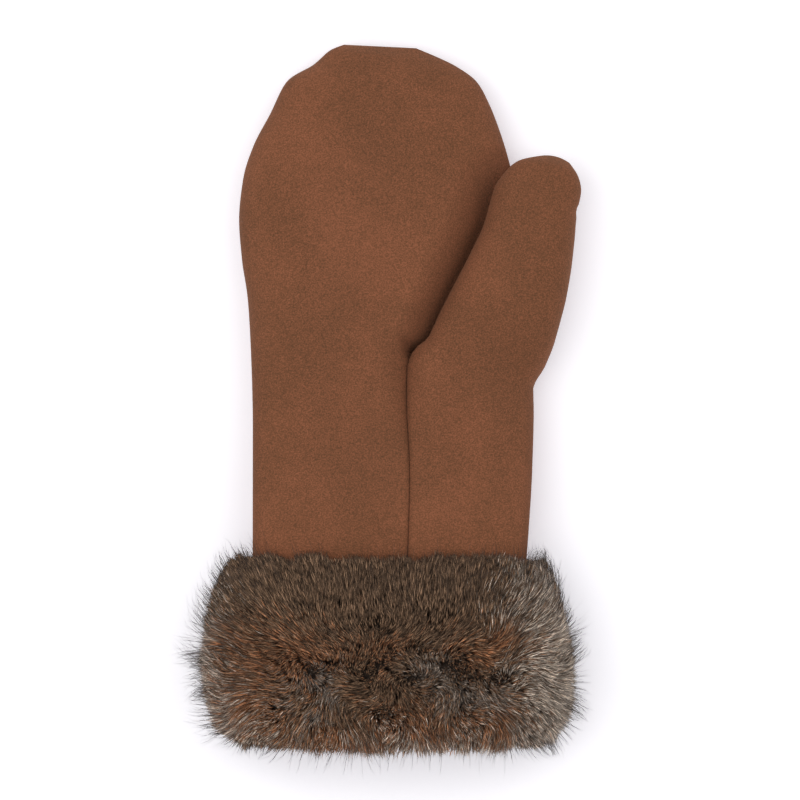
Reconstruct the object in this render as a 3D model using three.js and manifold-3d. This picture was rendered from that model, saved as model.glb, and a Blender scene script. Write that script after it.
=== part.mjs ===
// A right-hand suede mitten with a deep fur cuff, lying on its back with the palm up.
// Millimetres. x runs across the palm towards the thumb, y towards the fingertips, z up from the table.
// Three leather panels and the thumb's back are thin curved walls. The fur cuff is a ring round the wrist.
import * as THREE from 'three';
import { mergeVertices } from 'three/addons/utils/BufferGeometryUtils.js';
import Module from 'manifold-3d';

// Leather and seams
const LEATHER_WALL = 2.2;
const SEAM_GAP = 0.3;
const CUT_GAP = 0.8 * SEAM_GAP; // left where one panel is cut clear of another that crosses it
const EDGE_ROUNDNESS = 0.78; // 1 makes a round section, less makes a boxier one

// Hand
const HAND_LENGTH = 206; // cuff seam to fingertip seam
const HAND_WIDTH = 114; // flat width across the knuckles
const HAND_THICKNESS = 39; // thickest section, over the knuckles
const PALM_SEAM_OFFSET = 7.4; // the long palm seam lies this far to the thumb side of the middle
const CROTCH_SINK = 8; // how deep the palm seam dips where the thumb leaves the hand
const SINK_REACH = 9; // width of that dip to each side
const HEEL_REACH = 1.3; // share of SINK_REACH that the dip has over the heel of the hand
const SINK_SPREAD = 0.12; // the dip widens by this share of the distance along the thumb
const THUMB_PRESS = 0.7; // share of the palm's rise that the thumb presses flat
const PRESS_REACH = 0.6; // share of SINK_REACH in which the press comes on under the thumb's edge
const PRESS_ALONG = 1.3; // the press comes on this much sooner along the thumb than across it

// Thumb
const THUMB_LENGTH = 88; // from its base line on the palm to its tip
const THUMB_WIDTH = 46;
const THUMB_THICKNESS = 25;
const THUMB_RAISE = 8.5; // its seam above the palm that it presses down
const THUMB_CLEARANCE = 1; // between the thumb's back and the palm under it

// The thumb leaves the hand's heel in shares of THUMB_LENGTH from its base
const EDGES_FREE = 0.085; // its edges leave the hand's seams
const RIMS_LEVEL = 0.15; // its rims turn from upright to level
const FRONT_FREE = 0.2; // its front leaves the heel's curve
const SEAM_RISEN = 0.3; // its seam has risen over the palm
const TIP_CLOSING = 0.88; // from here to the tip its end wall thickens

// Fur cuff
const CUFF_LENGTH = 73; // from the cuff seam to the mouth, over the dense fur
const FUR_DEPTH = 19; // dense fur over the leather tube, without the lock tips
const CUFF_LIFT = 11.5; // the fur under the wrist, pressed by its weight
const PELT_CLEARANCE = 0.3; // between the pelt and the leather tube
const TUBE_LENGTH = 64; // the leather tube inside the cuff, from the cuff seam to its end
const HEM_LIP = 2.5; // the pelt's edge turned in over the leather's end

// Fur locks
const LOCK_WIDTH = 19;
const LOCK_LENGTH = 19;
const LOCK_HEIGHT = 4; // crest over the dense fur
const TIP_HEIGHT = 0.6; // share of LOCK_HEIGHT at its tip
const LOCK_SPACING = 12; // from one row of locks to the next
const LOCK_ROOT = 1.2; // how deep a lock is rooted in the dense fur
const LOCK_CLEARANCE = 3.6; // least depth of a lock over the leather tube, which its flat facets then clear
const PARTING = 38; // the fur parts this far from the cuff seam, towards the hand and towards the mouth
const LAST_LOCK = 0.8; // share of LOCK_LENGTH from the last row's root to the fur's rim

// Cross-sections of a lock. share is the place along it, width a share of LOCK_WIDTH and crest of its height.
const LOCK_SECTIONS = [
  { share: 0, width: 0.75, crest: 0.2 },
  { share: 0.55, width: 0.95, crest: 1 },
];

// Facets
const PALM_COLUMNS = 13;
const HEEL_COLUMNS = 11;
const THUMB_ROWS = 13;
const CROWDING = 1.25; // over 1, columns lie closer together at their first seam
const THUMB_CROWDING = 1.3; // over 1, rows lie closer together at the thumb's base
const ROWS_BETWEEN = 7; // in the middle of the hand, and again towards the fingertips
const TIP_ROWS = 3; // table rows that count as the fingertips
const FINEST_FACET = 0.03; // finer facets that a cut or a join leaves are merged

// Sections of the hand from the mouth of the leather tube to the fingertip seam, a row for each. In the
// outline, x is a share of HAND_WIDTH and y of HAND_LENGTH, except the mouth's, which is TUBE_LENGTH before
// the cuff seam.
const HAND_OUTLINE = [
  { leftX: -0.484, leftY: 0, rightX: 0.474, rightY: 0 },
  { leftX: -0.484, leftY: 0, rightX: 0.474, rightY: 0 },
  { leftX: -0.484, leftY: 0.252, rightX: 0.495, rightY: 0.175 },
  { leftX: -0.5, leftY: 0.492, rightX: 0.503, rightY: 0.345 },
  { leftX: -0.523, leftY: 0.583, rightX: 0.485, rightY: 0.447 },
  { leftX: -0.533, leftY: 0.66, rightX: 0.472, rightY: 0.563 },
  { leftX: -0.519, leftY: 0.738, rightX: 0.452, rightY: 0.68 },
  { leftX: -0.484, leftY: 0.801, rightX: 0.418, rightY: 0.767 },
  { leftX: -0.425, leftY: 0.864, rightX: 0.38, rightY: 0.835 },
  { leftX: -0.362, leftY: 0.93, rightX: 0.346, rightY: 0.883 },
  { leftX: -0.272, leftY: 0.961, rightX: 0.302, rightY: 0.927 },
  { leftX: -0.211, leftY: 0.99, rightX: 0.228, rightY: 0.958 },
  { leftX: -0.167, leftY: 1, rightX: 0.09, rightY: 0.993 },
];

// The same sections' heights. seam is the height of the side seam, rise the palm above it and drop the back
// below it, as shares of HAND_THICKNESS. lift is the share of CUFF_LIFT that the fur raises the section by.
const HAND_HEIGHTS = [
  { seamLeft: 0.36, seamRight: 0.36, rise: 0.36, drop: 0.36, lift: 1 },
  { seamLeft: 0.36, seamRight: 0.36, rise: 0.36, drop: 0.36, lift: 1 },
  { seamLeft: 0.38, seamRight: 0.37, rise: 0.42, drop: 0.4, lift: 0.45 },
  { seamLeft: 0.39, seamRight: 0.34, rise: 0.55, drop: 0.42, lift: 0.05 },
  { seamLeft: 0.36, seamRight: 0.27, rise: 0.55, drop: 0.4, lift: 0 },
  { seamLeft: 0.34, seamRight: 0.25, rise: 0.54, drop: 0.38, lift: 0 },
  { seamLeft: 0.33, seamRight: 0.25, rise: 0.53, drop: 0.36, lift: 0 },
  { seamLeft: 0.32, seamRight: 0.26, rise: 0.5, drop: 0.35, lift: 0 },
  { seamLeft: 0.31, seamRight: 0.27, rise: 0.45, drop: 0.32, lift: 0 },
  { seamLeft: 0.3, seamRight: 0.28, rise: 0.38, drop: 0.26, lift: 0 },
  { seamLeft: 0.29, seamRight: 0.28, rise: 0.29, drop: 0.19, lift: 0 },
  { seamLeft: 0.28, seamRight: 0.28, rise: 0.18, drop: 0.11, lift: 0 },
  { seamLeft: 0.28, seamRight: 0.28, rise: 0.07, drop: 0.06, lift: 0 },
];

const MOUTH_ROW = 0;
const WRIST_ROW = 1;
const CROTCH_ROW = 3;
const TIP_ROW = HAND_OUTLINE.length - 1;
// Sections of the thumb from its base line on the palm to its tip. along is a share of THUMB_LENGTH. left
// and right are offsets from its axis as shares of THUMB_WIDTH. rise and drop are its front above and its
// back below its seam, as shares of THUMB_THICKNESS.
const THUMB_SECTIONS = [
  { along: 0, left: -0.555, right: 0.555, rise: 0.5, drop: -0.14 },
  { along: 0.085, left: -0.425, right: 0.609, rise: 0.55, drop: -0.03 },
  { along: 0.2, left: -0.385, right: 0.64, rise: 0.62, drop: 0.12 },
  { along: 0.35, left: -0.325, right: 0.642, rise: 0.65, drop: 0.25 },
  { along: 0.5, left: -0.262, right: 0.624, rise: 0.65, drop: 0.31 },
  { along: 0.65, left: -0.215, right: 0.585, rise: 0.62, drop: 0.32 },
  { along: 0.79, left: -0.212, right: 0.541, rise: 0.56, drop: 0.3 },
  { along: 0.88, left: -0.16, right: 0.53, rise: 0.47, drop: 0.27 },
  { along: 0.95, left: -0.07, right: 0.47, rise: 0.34, drop: 0.21 },
  { along: 1, left: 0.115, right: 0.365, rise: 0.1, drop: 0.08 },
];

// The dense fur's outer face, from its rim at the cuff seam round to its rim at the mouth. y is a share of
// CUFF_LENGTH past the cuff seam and depth a share of FUR_DEPTH.
const FUR_PROFILE = [
  { y: 0, depth: 0.12 },
  { y: -0.02, depth: 0.36 },
  { y: 0.06, depth: 0.62 },
  { y: 0.2, depth: 0.84 },
  { y: 0.4, depth: 0.98 },
  { y: 0.58, depth: 1.01 },
  { y: 0.75, depth: 0.95 },
  { y: 0.88, depth: 0.77 },
  { y: 0.97, depth: 0.46 },
  { y: 1, depth: 0.1 },
];

const SUEDE_COLOUR = 0x7b4e37;
const FUR_COLOUR = 0x5d4a3a;

// Reads a column of a table at a row position, along a smooth curve that stays between its rows.
function readColumn(table, column, position) {
  const last = table.length - 1;
  const row = Math.min(Math.floor(Math.max(position, 0)), last - 1);
  const share = THREE.MathUtils.clamp(position - row, 0, 1);
  const value = (i) => table[THREE.MathUtils.clamp(i, 0, last)][column];
  const slope = (i) => {
    const before = value(i) - value(i - 1);
    const after = value(i + 1) - value(i);
    return before * after > 0 ? (2 * before * after) / (before + after) : 0;
  };
  const [a, b, sa, sb] = [value(row), value(row + 1), slope(row), slope(row + 1)];
  const s2 = share * share;
  const s3 = s2 * share;
  return a * (2 * s3 - 3 * s2 + 1) + sa * (s3 - 2 * s2 + share) + b * (3 * s2 - 2 * s3) + sb * (s3 - s2);
}

// The row position where a rising column reaches a value.
function rowWhere(table, column, wanted) {
  let [low, high] = [0, table.length - 1];
  for (let i = 0; i < 30; i++) {
    const middle = (low + high) / 2;
    if (readColumn(table, column, middle) < wanted) low = middle;
    else high = middle;
  }
  return (low + high) / 2;
}

const smooth = (from, to, x) => THREE.MathUtils.smoothstep(x, from, to);

// Evenly spaced numbers, both ends among them.
function steps(from, to, count) {
  return Array.from({ length: count + 1 }, (_, i) => from + ((to - from) * i) / count);
}

// Sections are superellipses. share runs from 0 at the left seam to 1 at the right one, and swell is the
// part of the full height that a section has there.
const swell = (share) => (1 - Math.abs(2 * share - 1) ** (2 / EDGE_ROUNDNESS)) ** (EDGE_ROUNDNESS / 2);

// The share of a section at an angle round it.
function shareAt(angle) {
  const across = Math.cos(angle);
  return 0.5 - 0.5 * Math.sign(across) * Math.abs(across) ** EDGE_ROUNDNESS;
}

// Shares from 0 to 1 that lie closer together at both ends, and closest at 0.
const crowded = (count) => steps(0, 1, count).map((t) => (0.5 - 0.5 * Math.cos(Math.PI * t)) ** CROWDING);

// One section line of the hand, from the left seam to the right one, with its heights.
function handSection(position) {
  const x = (column) => HAND_WIDTH * readColumn(HAND_OUTLINE, column, position);
  const y = (column) => HAND_LENGTH * readColumn(HAND_OUTLINE, column, position);
  const height = (column) => HAND_THICKNESS * readColumn(HAND_HEIGHTS, column, position);
  const mouthY = -TUBE_LENGTH * Math.max(0, WRIST_ROW - position);
  const lift = CUFF_LIFT * readColumn(HAND_HEIGHTS, 'lift', position);
  return {
    left: new THREE.Vector2(x('leftX'), y('leftY') + mouthY),
    right: new THREE.Vector2(x('rightX'), y('rightY') + mouthY),
    seamLeft: height('seamLeft') + lift,
    seamRight: height('seamRight') + lift,
    rise: height('rise'),
    drop: height('drop'),
  };
}

// The share of a section at which the long palm seam runs.
const SEAM_SHARE = 0.5 + PALM_SEAM_OFFSET / HAND_WIDTH;

const crotchSection = handSection(CROTCH_ROW);
const lineAt = (section, share) => section.left.clone().lerp(section.right, share);
const CROTCH_POINT = lineAt(crotchSection, SEAM_SHARE);
const SIDE_POINT = crotchSection.right;
const THUMB_ORIGIN = CROTCH_POINT.clone().add(SIDE_POINT).multiplyScalar(0.5);
const THUMB_ACROSS = SIDE_POINT.clone().sub(CROTCH_POINT).normalize();
const THUMB_ALONG = new THREE.Vector2(-THUMB_ACROSS.y, THUMB_ACROSS.x);
const THUMB_BASE_WIDTH = SIDE_POINT.distanceTo(CROTCH_POINT);

// A plan point in the thumb's own frame: its row along the thumb and its distance inside the left edge.
function thumbPlace(point) {
  const offset = point.clone().sub(THUMB_ORIGIN);
  const along = offset.dot(THUMB_ALONG);
  const row = rowWhere(THUMB_SECTIONS, 'along', along / THUMB_LENGTH);
  return { along, inside: offset.dot(THUMB_ACROSS) - thumbEdge(row, 'left', along) };
}

// An edge of the thumb from its axis. At the base it meets the hand's own seams.
function thumbEdge(row, side, along) {
  const own = THUMB_WIDTH * readColumn(THUMB_SECTIONS, side, row);
  const base = (side === 'left' ? -0.5 : 0.5) * THUMB_BASE_WIDTH;
  return THREE.MathUtils.lerp(base, own, smooth(0, EDGES_FREE, along / THUMB_LENGTH));
}

// The share of the palm's rise that is pressed down: a valley along the palm seam, which deepens to the
// crotch and goes on under the thumb.
function pressedShare(position, point, section, isHeel) {
  const sink = CROTCH_SINK / section.rise;
  if (position <= CROTCH_ROW) {
    const distance = point.distanceTo(lineAt(section, SEAM_SHARE));
    const width = SINK_REACH * (isHeel ? HEEL_REACH : 1);
    return sink * smooth(WRIST_ROW, CROTCH_ROW, position) ** 2 * (1 - smooth(0, width, distance));
  }
  const { along, inside } = thumbPlace(point);
  const reach = SINK_REACH + SINK_SPREAD * Math.max(along, 0);
  const under = Math.max(inside, 0) + PRESS_ALONG * Math.max(along, 0);
  const deep = smooth(0, PRESS_REACH * SINK_REACH, under);
  return THREE.MathUtils.lerp(sink, THUMB_PRESS, deep) * smooth(-reach, 0, inside);
}

// A point of the palm (side 1) or the back (side -1). inset is its depth in the leather.
function handPoint(position, share, side, inset, isHeel = false) {
  const section = handSection(position);
  const line = section.right.clone().sub(section.left);
  const width = line.length();
  line.divideScalar(width);
  const point = section.left.clone().addScaledVector(line, inset + (width - 2 * inset) * share);
  const endInset = inset * smooth(TIP_ROW - 2, TIP_ROW, position);
  point.addScaledVector(new THREE.Vector2(-line.y, line.x), -endInset);
  const seam = THREE.MathUtils.lerp(section.seamLeft, section.seamRight, share);
  if (side > 0) {
    const kept = 1 - pressedShare(position, point, section, isHeel);
    const height = Math.max(section.rise * kept - inset, 0);
    return new THREE.Vector3(point.x, point.y, seam + SEAM_GAP / 2 + height * swell(share));
  }
  const depth = Math.max(section.drop - inset, 0) * swell(share);
  const height = Math.max(seam - SEAM_GAP / 2 - depth, inset);
  return new THREE.Vector3(point.x, point.y, height);
}

// The share of a section that a turn over the heel reaches: 0 at the palm seam, 1 at the right seam.
function heelShare(turn) {
  return 1 - (1 - SEAM_SHARE) * (0.5 + 0.5 * Math.cos(Math.PI * turn)) ** CROWDING;
}

// The palm's height under a plan point beyond the crotch.
function palmHeight(point) {
  let [low, high] = [CROTCH_ROW, TIP_ROW];
  const side = (position) => {
    const { left, right } = handSection(position);
    return right.clone().sub(left).cross(point.clone().sub(left));
  };
  for (let i = 0; i < 24; i++) {
    const middle = (low + high) / 2;
    if (side(middle) > 0) low = middle;
    else high = middle;
  }
  const section = handSection(low);
  const width = section.right.distanceTo(section.left);
  const share = point.distanceTo(section.left) / width;
  return share < 1 ? handPoint(low, share, 1, 0).z : -Infinity;
}

// The thumb's seam lies level over the palm that the middle of the thumb presses down.
const THUMB_SEAM = (() => {
  const middle = THUMB_ORIGIN.clone().addScaledVector(THUMB_ALONG, 0.5 * THUMB_LENGTH);
  return palmHeight(middle) + THUMB_CLEARANCE + THUMB_RAISE;
})();

// A point of the thumb's front (side 1) or back (side -1). turn runs from 0 at its left edge to 1 at its
// right.
function thumbPoint(along, turn, side, inset) {
  const share = shareAt(Math.PI * turn);
  const row = rowWhere(THUMB_SECTIONS, 'along', Math.min(Math.max(along, 0) / THUMB_LENGTH, 1));
  // The rims start upright, except the front's on the hand's side seam, and turn level along the thumb.
  const level = smooth(0, RIMS_LEVEL, along / THUMB_LENGTH);
  const left = thumbEdge(row, 'left', along) + inset * level;
  const right = thumbEdge(row, 'right', along) - inset * (side > 0 ? 1 : level);
  const offset = left + (right - left) * share;
  const endInset = inset * smooth(TIP_CLOSING, 1, along / THUMB_LENGTH);
  const point = THUMB_ORIGIN.clone()
    .addScaledVector(THUMB_ACROSS, offset)
    .addScaledVector(THUMB_ALONG, along - endInset);
  const risen = smooth(0, SEAM_RISEN, along / THUMB_LENGTH);
  const crotchHeight = handPoint(CROTCH_ROW, SEAM_SHARE, 1, 0, true).z - 2 * (LEATHER_WALL + SEAM_GAP);
  const start = THREE.MathUtils.lerp(crotchHeight, crotchSection.seamRight, turn);
  const seam = THREE.MathUtils.lerp(start, THUMB_SEAM, risen);
  const reading = THUMB_THICKNESS * readColumn(THUMB_SECTIONS, side > 0 ? 'rise' : 'drop', row);
  if (side > 0) {
    const heel = handPoint(CROTCH_ROW, heelShare(turn), 1, inset, true).z;
    const own = seam + SEAM_GAP / 2 + Math.max(reading - inset, 0) * swell(share);
    const free = smooth(0, FRONT_FREE, along / THUMB_LENGTH);
    return new THREE.Vector3(point.x, point.y, THREE.MathUtils.lerp(heel, own, free));
  }
  const thickness = inset * THREE.MathUtils.lerp(1, swell(share), level);
  return new THREE.Vector3(point.x, point.y, seam - SEAM_GAP / 2 - reading * swell(share) + thickness);
}

function meshGeometry(points, faces) {
  const geometry = new THREE.BufferGeometry();
  const positions = points.flatMap((point) => [point.x, point.y, point.z]);
  geometry.setAttribute('position', new THREE.Float32BufferAttribute(positions, 3));
  geometry.setIndex(faces);
  return geometry;
}

// A closed wall between an outer and an inner grid of points, with its rim. isMissing(row, column) is true
// for a cell that isn't there. Rows and columns run so that the outer face points out of the leather.
function wallGeometry(outer, inner, isMissing = () => false) {
  const rows = outer.length;
  const columns = outer[0].length;
  const at = (layer, row, column) => layer * rows * columns + row * columns + column;
  const has = (row, column) =>
    row >= 0 && column >= 0 && row < rows - 1 && column < columns - 1 && !isMissing(row, column);
  const faces = [];
  const quad = (a, b, c, d) => faces.push(a, b, c, a, c, d);
  for (let i = 0; i < rows - 1; i++) {
    for (let j = 0; j < columns - 1; j++) {
      if (!has(i, j)) continue;
      quad(at(0, i, j), at(0, i, j + 1), at(0, i + 1, j + 1), at(0, i + 1, j));
      quad(at(1, i, j), at(1, i + 1, j), at(1, i + 1, j + 1), at(1, i, j + 1));
      const rim = (i0, j0, i1, j1) => quad(at(0, i0, j0), at(1, i0, j0), at(1, i1, j1), at(0, i1, j1));
      if (!has(i - 1, j)) rim(i, j, i, j + 1);
      if (!has(i, j + 1)) rim(i, j + 1, i + 1, j + 1);
      if (!has(i + 1, j)) rim(i + 1, j + 1, i + 1, j);
      if (!has(i, j - 1)) rim(i + 1, j, i, j);
    }
  }
  return meshGeometry([...outer.flat(), ...inner.flat()], faces);
}

// Columns run from the left seam to the palm seam, and on from there over the heel to the right seam. Rows
// lie closer together round the crotch and towards the fingertips.
const PALM_SHARES = crowded(PALM_COLUMNS).map((share) => SEAM_SHARE * share);
const HEEL_SHARES = steps(0, 1, HEEL_COLUMNS).map(heelShare);
const SECTION_SHARES = [...PALM_SHARES, ...HEEL_SHARES.slice(1)];
const ROWS_TO_CROTCH = [MOUTH_ROW, WRIST_ROW, 1.5, 2, 2.45, 2.8, CROTCH_ROW];
const ROWS_TO_TIP = [
  ...[0.12, 0.35, 0.65].map((past) => CROTCH_ROW + past),
  ...steps(CROTCH_ROW + 1, TIP_ROW - TIP_ROWS, ROWS_BETWEEN),
  ...steps(TIP_ROW - TIP_ROWS, TIP_ROW, ROWS_BETWEEN).slice(1),
];
const THUMB_ALONGS = steps(0, 1, THUMB_ROWS).map(
  (t) => THUMB_LENGTH * Math.sin((t * Math.PI) / 2) ** THUMB_CROWDING,
);

function palmWall() {
  const rows = [...ROWS_TO_CROTCH, ...ROWS_TO_TIP];
  const crotchRow = ROWS_TO_CROTCH.length - 1;
  // Beyond the crotch the wall starts a seam gap further on, so that it clears the heel of the thumb panel.
  const nextY = HAND_OUTLINE[CROTCH_ROW + 1].rightY - HAND_OUTLINE[CROTCH_ROW].rightY;
  const startShift = SEAM_GAP / (HAND_LENGTH * nextY);
  const starts = (position, j) => position === CROTCH_ROW && j > PALM_COLUMNS;
  const place = (position, j) => (starts(position, j) ? CROTCH_ROW + startShift : position);
  const grid = (inset) =>
    rows.map((position) =>
      SECTION_SHARES.map((share, j) => {
        const point = handPoint(place(position, j), share, 1, inset);
        if (j === PALM_COLUMNS && position <= CROTCH_ROW) point.x -= SEAM_GAP / 2;
        return point;
      }),
    );
  return wallGeometry(grid(0), grid(LEATHER_WALL), (i, j) => i < crotchRow && j >= PALM_COLUMNS);
}

function backWall() {
  const rows = [...ROWS_TO_CROTCH, ...ROWS_TO_TIP];
  const shares = [...SECTION_SHARES].reverse();
  const line = (position, inset) => shares.map((share) => handPoint(position, share, -1, inset));
  const grid = (inset) => rows.map((position) => line(position, inset));
  return wallGeometry(grid(0), grid(LEATHER_WALL));
}

// The thumb's front goes on from the heel of the hand, so both are one wall.
function thumbPanelWall() {
  const turns = steps(0, 1, HEEL_COLUMNS);
  const grid = (inset) => [
    ...ROWS_TO_CROTCH.map((position) =>
      HEEL_SHARES.map((share, j) => {
        const point = handPoint(position, share, 1, inset, true);
        if (j === 0) point.x += SEAM_GAP / 2;
        return point;
      }),
    ),
    ...THUMB_ALONGS.slice(1).map((along) => turns.map((turn) => thumbPoint(along, turn, 1, inset))),
  ];
  return wallGeometry(grid(0), grid(LEATHER_WALL));
}

function thumbBackWall() {
  const turns = steps(1, 0, HEEL_COLUMNS);
  const alongs = [SEAM_GAP, ...THUMB_ALONGS.slice(1)];
  const grid = (inset) => alongs.map((along) => turns.map((turn) => thumbPoint(along, turn, -1, inset)));
  return wallGeometry(grid(0), grid(LEATHER_WALL));
}

// A point outside the wrist tube by depth, at y, on the palm's side (1) or the back's (-1).
function ringPoint(y, share, side, depth) {
  const section = handSection(y > 0 ? WRIST_ROW : MOUTH_ROW);
  const half = (section.right.x - section.left.x) / 2 + depth;
  const middle = (section.right.x + section.left.x) / 2;
  const height = (side > 0 ? section.rise : section.drop) + depth + SEAM_GAP / 2;
  const seam = (section.seamLeft + section.seamRight) / 2;
  return new THREE.Vector3(middle + half * (2 * share - 1), y, seam + side * height * swell(share));
}

// The backing: pelt and dense fur in one ring. Its columns are those of the leather tube inside it.
function furBacking() {
  const line = (y, depth) => [
    ...SECTION_SHARES.map((share) => ringPoint(y, share, 1, depth)),
    ...SECTION_SHARES.slice(1, -1).reverse().map((share) => ringPoint(y, share, -1, depth)),
  ];
  const hemY = -TUBE_LENGTH - SEAM_GAP;
  return [
    line(0, PELT_CLEARANCE),
    line(hemY, PELT_CLEARANCE),
    line(hemY, -LEATHER_WALL),
    line(hemY - HEM_LIP, -LEATHER_WALL),
    ...FUR_PROFILE.map((row) => line(-CUFF_LENGTH * row.y, FUR_DEPTH * row.depth)).reverse(),
  ];
}

// The fur's outer profile as points a short way apart, each with its distance from the rim at the hand.
const FUR_PATH = (() => {
  const path = steps(0, FUR_PROFILE.length - 1, 12 * FUR_PROFILE.length).map((position) => ({
    y: -CUFF_LENGTH * readColumn(FUR_PROFILE, 'y', position),
    depth: FUR_DEPTH * readColumn(FUR_PROFILE, 'depth', position),
    distance: 0,
  }));
  path.slice(1).forEach((point, i) => {
    point.distance = path[i].distance + Math.hypot(point.y - path[i].y, point.depth - path[i].depth);
  });
  return path;
})();
const FUR_PATH_LENGTH = FUR_PATH[FUR_PATH.length - 1].distance;

// A point over the dense fur by out, at a distance along its profile.
function furPoint(angle, distance, out) {
  const wanted = THREE.MathUtils.clamp(distance, 0, FUR_PATH_LENGTH);
  const i = Math.max(FUR_PATH.findIndex((point) => point.distance >= wanted), 1);
  const [a, b] = [FUR_PATH[i - 1], FUR_PATH[i]];
  const share = (wanted - a.distance) / (b.distance - a.distance);
  const [dy, dDepth] = [(b.y - a.y) * share, (b.depth - a.depth) * share];
  const stretch = b.distance - a.distance;
  const outY = (out * (b.depth - a.depth)) / stretch;
  const outDepth = (out * (a.y - b.y)) / stretch;
  const depth = Math.max(a.depth + dDepth + outDepth, LOCK_CLEARANCE);
  return ringPoint(a.y + dy + outY, shareAt(angle), Math.sin(angle) < 0 ? -1 : 1, depth);
}

// Angles at even distances round the dense fur.
function evenAngles(count, shift) {
  const fine = steps(0, 2 * Math.PI, 240);
  const points = fine.map((angle) => furPoint(angle, PARTING, 0));
  const run = [0];
  points.slice(1).forEach((point, i) => run.push(run[i] + point.distanceTo(points[i])));
  const total = run[run.length - 1];
  return Array.from({ length: count }, (_, k) => {
    const wanted = (((k + shift) / count) % 1) * total;
    const i = Math.max(run.findIndex((r) => r >= wanted), 1);
    return THREE.MathUtils.lerp(fine[i - 1], fine[i], (wanted - run[i - 1]) / (run[i] - run[i - 1]));
  });
}

// A number from 0 to 1 that looks random but is the same each time.
const scatter = (n) => Math.abs(Math.sin(n * 12.9898) * 43758.5453) % 1;

// One pointed lock, with its root in the dense fur and its tip free. nap is 1 towards the mouth, -1 towards
// the hand.
function lockGeometry(angle, halfTurn, distance, nap, number) {
  const length = LOCK_LENGTH * (0.85 + 0.3 * scatter(number));
  const height = LOCK_HEIGHT * (0.75 + 0.5 * scatter(number + 0.37));
  const lean = halfTurn * (scatter(number + 0.71) - 0.5);
  const sections = LOCK_SECTIONS.flatMap(({ share, width, crest }) => {
    const middle = angle + lean * share;
    const place = distance + nap * length * share;
    return [
      furPoint(middle - halfTurn * width, place, -LOCK_ROOT),
      furPoint(middle, place, crest * height),
      furPoint(middle + halfTurn * width, place, -LOCK_ROOT),
    ];
  });
  const tip = furPoint(angle + lean * 1.4, distance + nap * length, TIP_HEIGHT * height);
  const points = [...sections, tip];
  const faces = [0, 1, 2, 0, 3, 4, 0, 4, 1, 1, 4, 5, 1, 5, 2, 2, 5, 3, 2, 3, 0, 3, 6, 4, 4, 6, 5, 5, 6, 3];
  return meshGeometry(points, nap > 0 ? faces : faces.slice().reverse());
}

// Rows of locks on both sides of the parting, each row set between the locks of the one before it.
function furLocks() {
  const round = evenAngles(48, 0).map((angle) => furPoint(angle, PARTING, 0));
  const girth = round.reduce((sum, point, i) => sum + point.distanceTo(round[(i + 1) % round.length]), 0);
  const count = Math.round(girth / LOCK_WIDTH);
  const parting = FUR_PATH.find((point) => point.y < -PARTING).distance;
  const locks = [];
  [-1, 1].forEach((nap) => {
    const room = nap < 0 ? parting : FUR_PATH_LENGTH - parting;
    const rows = Math.round((room - LOCK_LENGTH) / LOCK_SPACING);
    steps(0, 1, rows).forEach((share, row) => {
      const distance = parting + nap * share * (room - LAST_LOCK * LOCK_LENGTH);
      evenAngles(count, row % 2 ? 0.5 : 0).forEach((angle, k) => {
        const next = evenAngles(count, row % 2 ? 1 : 0.5)[k];
        const halfTurn = Math.abs(((next - angle + 3 * Math.PI) % (2 * Math.PI)) - Math.PI);
        locks.push(lockGeometry(angle, halfTurn, distance, nap, locks.length + 1));
      });
    });
  });
  return locks;
}

// A closed ring from lines of points, each line running once round.
function ringGeometry(lines) {
  const around = lines[0].length;
  const faces = [];
  lines.forEach((_, i) => {
    const next = (i + 1) % lines.length;
    for (let j = 0; j < around; j++) {
      const k = (j + 1) % around;
      const [a, b, c, d] = [i * around + j, i * around + k, next * around + k, next * around + j];
      faces.push(a, b, c, a, c, d);
    }
  });
  return meshGeometry(lines.flat(), faces);
}

const wasm = await Module();
wasm.setup();

function solidOf(geometry) {
  const bare = new THREE.BufferGeometry();
  bare.setAttribute('position', geometry.getAttribute('position'));
  bare.setIndex(geometry.index);
  const merged = mergeVertices(bare, 1e-4);
  return new wasm.Manifold(
    new wasm.Mesh({
      numProp: 3,
      vertProperties: merged.attributes.position.array,
      triVerts: new Uint32Array(merged.index.array),
    }),
  );
}

function geometryOf(solid) {
  const mesh = solid.getMesh();
  const geometry = new THREE.BufferGeometry();
  geometry.setAttribute('position', new THREE.BufferAttribute(mesh.vertProperties, mesh.numProp));
  geometry.setIndex(new THREE.BufferAttribute(mesh.triVerts, 1));
  geometry.computeVertexNormals();
  return geometry;
}

// The largest body of a solid, without loose bits or sealed pockets.
function largestBody(solid) {
  const bodies = solid.simplify(FINEST_FACET).decompose();
  return bodies.reduce((best, body) => (body.volume() > best.volume() ? body : best));
}

// The locks fused to their backing, pressed flat where they lie on the table.
function furSolid() {
  const backing = solidOf(ringGeometry(furBacking()));
  const fused = furLocks().reduce((all, lock) => all.add(solidOf(lock)), backing);
  return largestBody(fused.trimByPlane([0, 0, 1], 0));
}

// A solid spread a little to all eight corners round it, to cut its neighbours clear of it.
function spread(solid) {
  const both = [-CUT_GAP, CUT_GAP];
  const moves = both.flatMap((x) => both.flatMap((y) => both.map((z) => [x, y, z])));
  return moves.reduce((all, move) => all.add(solid.translate(move)), solid);
}

const mitten = new THREE.Group();
function addPiece(name, solid, color) {
  const material = new THREE.MeshStandardMaterial({ color, roughness: 0.95, metalness: 0 });
  const mesh = new THREE.Mesh(geometryOf(solid), material);
  mesh.name = name;
  mitten.add(mesh);
}

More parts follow.
